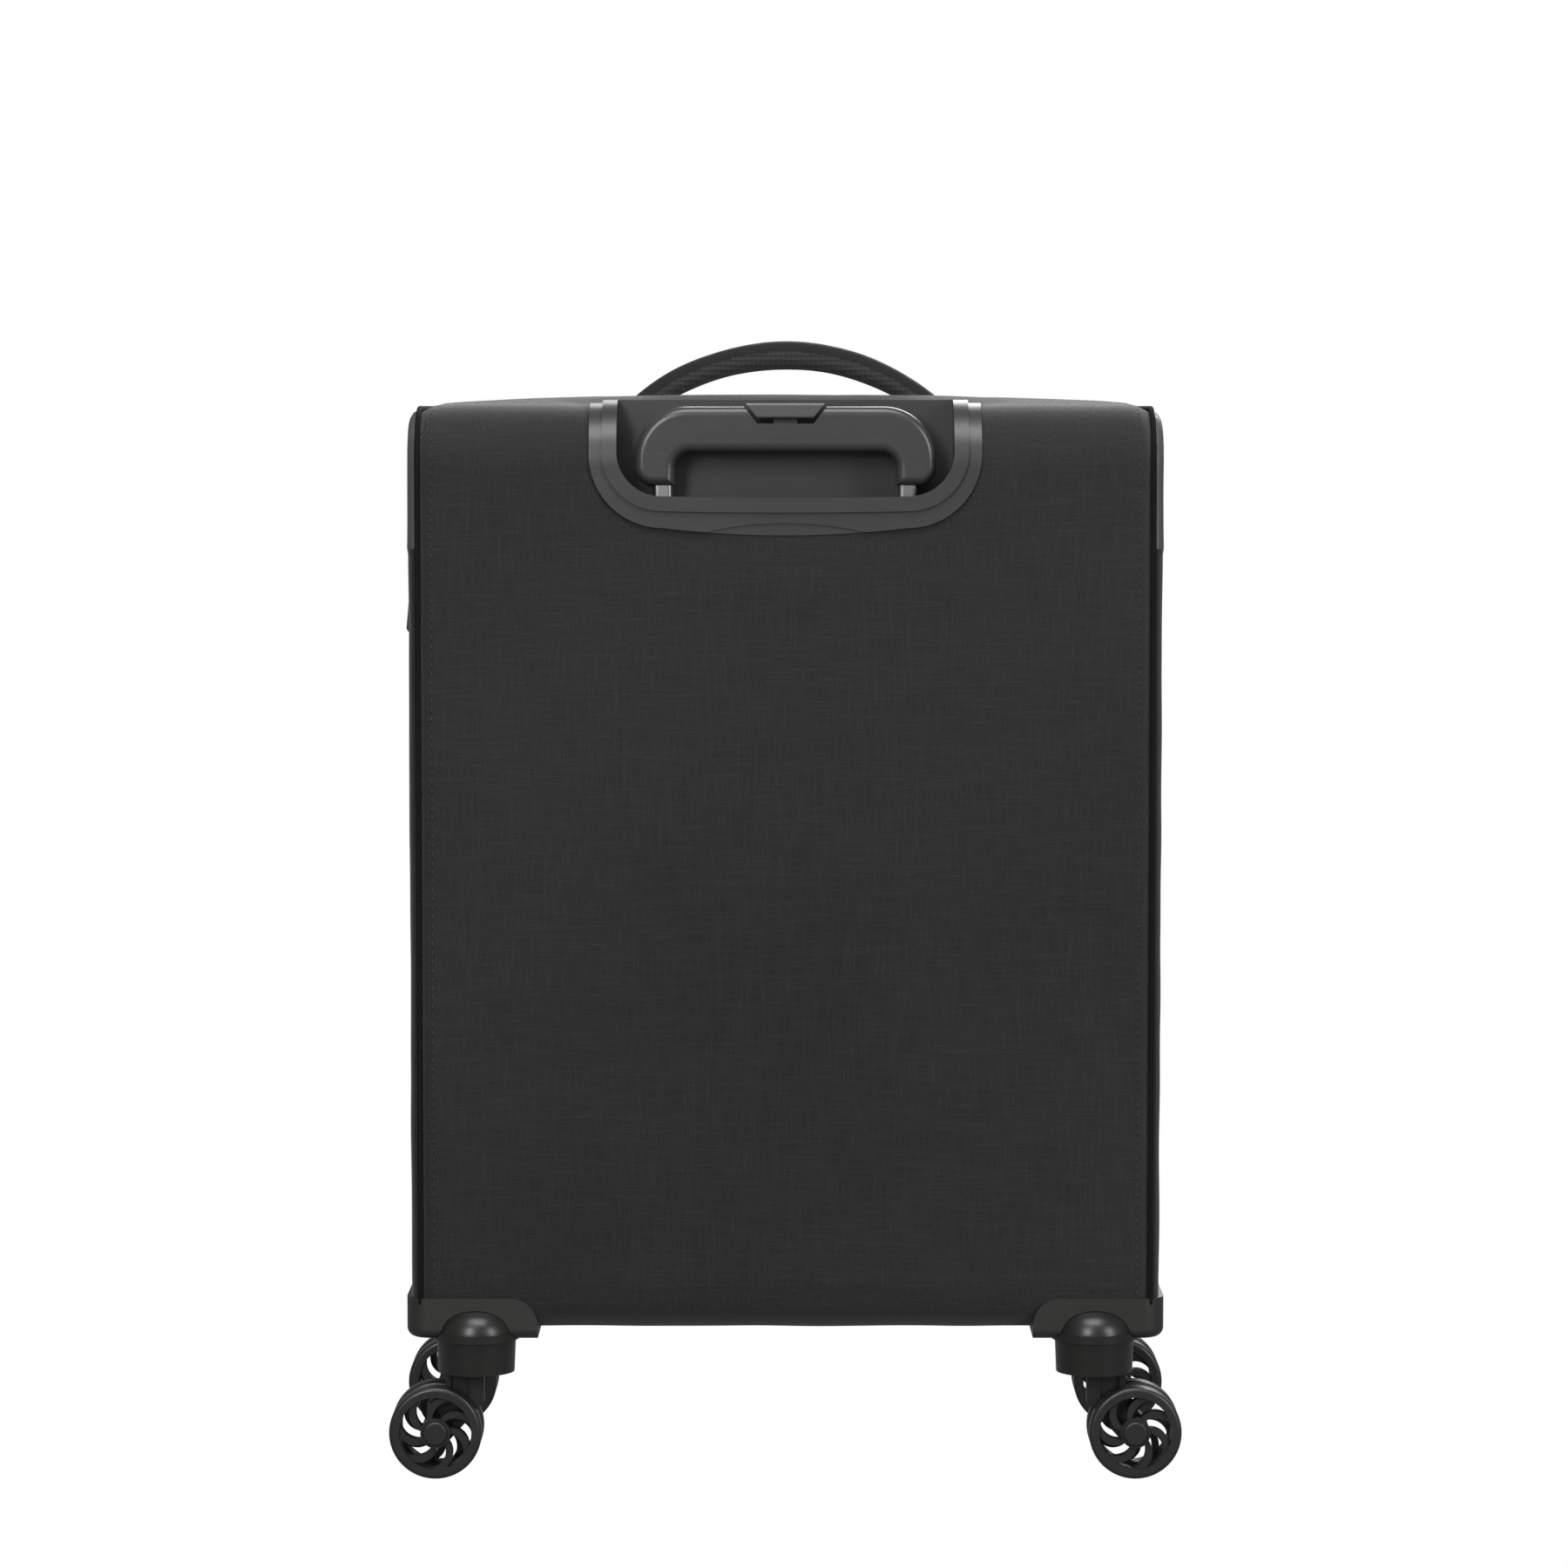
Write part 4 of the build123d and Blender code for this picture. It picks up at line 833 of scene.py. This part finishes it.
def zip_route():
    """Line of the main zip: over the top of the lid, down its left side and along its foot."""
    low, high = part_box("main_zip")
    return rounded_rectangle(
        high.x - zip_corner, low.z + zip_corner, high.z - zip_corner,
        (low.y + high.y) / 2, zip_corner, zip_corner_steps,
    )


def make_zip_details():
    """The coils of the main zip and of the pocket's two zips."""
    zip_coil("main_zip_coil", zip_route(), (tooth_length, tooth_width, tooth_length), "case")
    low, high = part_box("pocket_zips")
    ends = (low.x + pocket_coil_gap, high.x - pocket_coil_gap)
    pocket_middle = (pocket_low.y + pocket_high.y) / 2
    lower = [(x, pocket_middle, pocket_high.z + pocket_coil_lift) for x in ends]
    zip_coil("pocket_zip_coil_lower", lower, (tooth_length, tooth_width, tooth_height), "lid")
    upper = [(x, face_y + pocket_coil_lift, high.z - pocket_coil_drop) for x in ends]
    zip_coil("pocket_zip_coil_upper", upper, (tooth_length, tooth_height, tooth_width), "lid")


# ---------------------------------------------------------------- stage
def make_stage():
    """White surroundings that light the case only a little, and four softboxes that do the rest."""
    scene = bpy.context.scene
    world = bpy.data.worlds.new("studio")
    world.use_nodes = True
    tree = world.node_tree
    shown = tree.nodes["Background"]
    shown.inputs["Color"].default_value = white
    shown.inputs["Strength"].default_value = 1.0
    dim = node(tree, "ShaderNodeBackground", {"Color": white, "Strength": surround_light})
    seen = node(tree, "ShaderNodeLightPath")
    either = node(tree, "ShaderNodeMixShader")
    tree.links.new(seen.outputs["Is Camera Ray"], either.inputs[0])
    tree.links.new(dim.outputs[0], either.inputs[1])
    tree.links.new(shown.outputs[0], either.inputs[2])
    tree.links.new(either.outputs[0], tree.nodes["World Output"].inputs["Surface"])
    scene.world = world
    for name, spot, aim, size, power in (
        ("key", (-1.0, -2.7, 1.5), (0, 0, 0.35), (0.6, 1.5), 48),
        ("fill", (2.0, -2.0, 1.2), (0, 0, 0.3), (0.6, 1.5), 36),
        ("top", (0.0, -0.9, 2.3), (0, 0, 0.4), (1.4, 1.0), 34),
        ("front", (0.6, 2.4, 1.8), (0, 0, 0.3), (1.6, 1.6), 60),
    ):
        light = bpy.data.lights.new(name, "AREA")
        light.shape = "RECTANGLE"
        light.size, light.size_y = size
        light.energy = power
        lamp = bpy.data.objects.new(name, light)
        lamp.location = spot
        lamp.rotation_euler = (Vector(aim) - Vector(spot)).to_track_quat("-Z", "Y").to_euler()
        scene.collection.objects.link(lamp)
    scene.view_settings.view_transform = "Standard"


def make_camera():
    """Facing the rear of the case from the height of its top, and looking slightly down."""
    distance = 2.7
    aside = -0.0007
    eye_height = 0.5476
    tilt = math.radians(4.03)
    camera_data = bpy.data.cameras.new("camera")
    camera_data.sensor_width = 36.0
    camera_data.lens = 122.1
    camera = bpy.data.objects.new("camera", camera_data)
    camera.location = (aside, rear_y - distance, eye_height)
    camera.rotation_euler = (math.pi / 2 - tilt, 0, 0)
    bpy.context.scene.collection.objects.link(camera)
    bpy.context.scene.camera = camera


finish_nodes()
make_band()
make_side("side_fabric_left", -1, "side_panel_left")
make_side("side_fabric_right", 1, "side_panel_right")
make_lid()
make_hinge_tape()
make_carry_handle()
make_seams()
make_zip_details()
make_stitching()
make_stage()
make_camera()
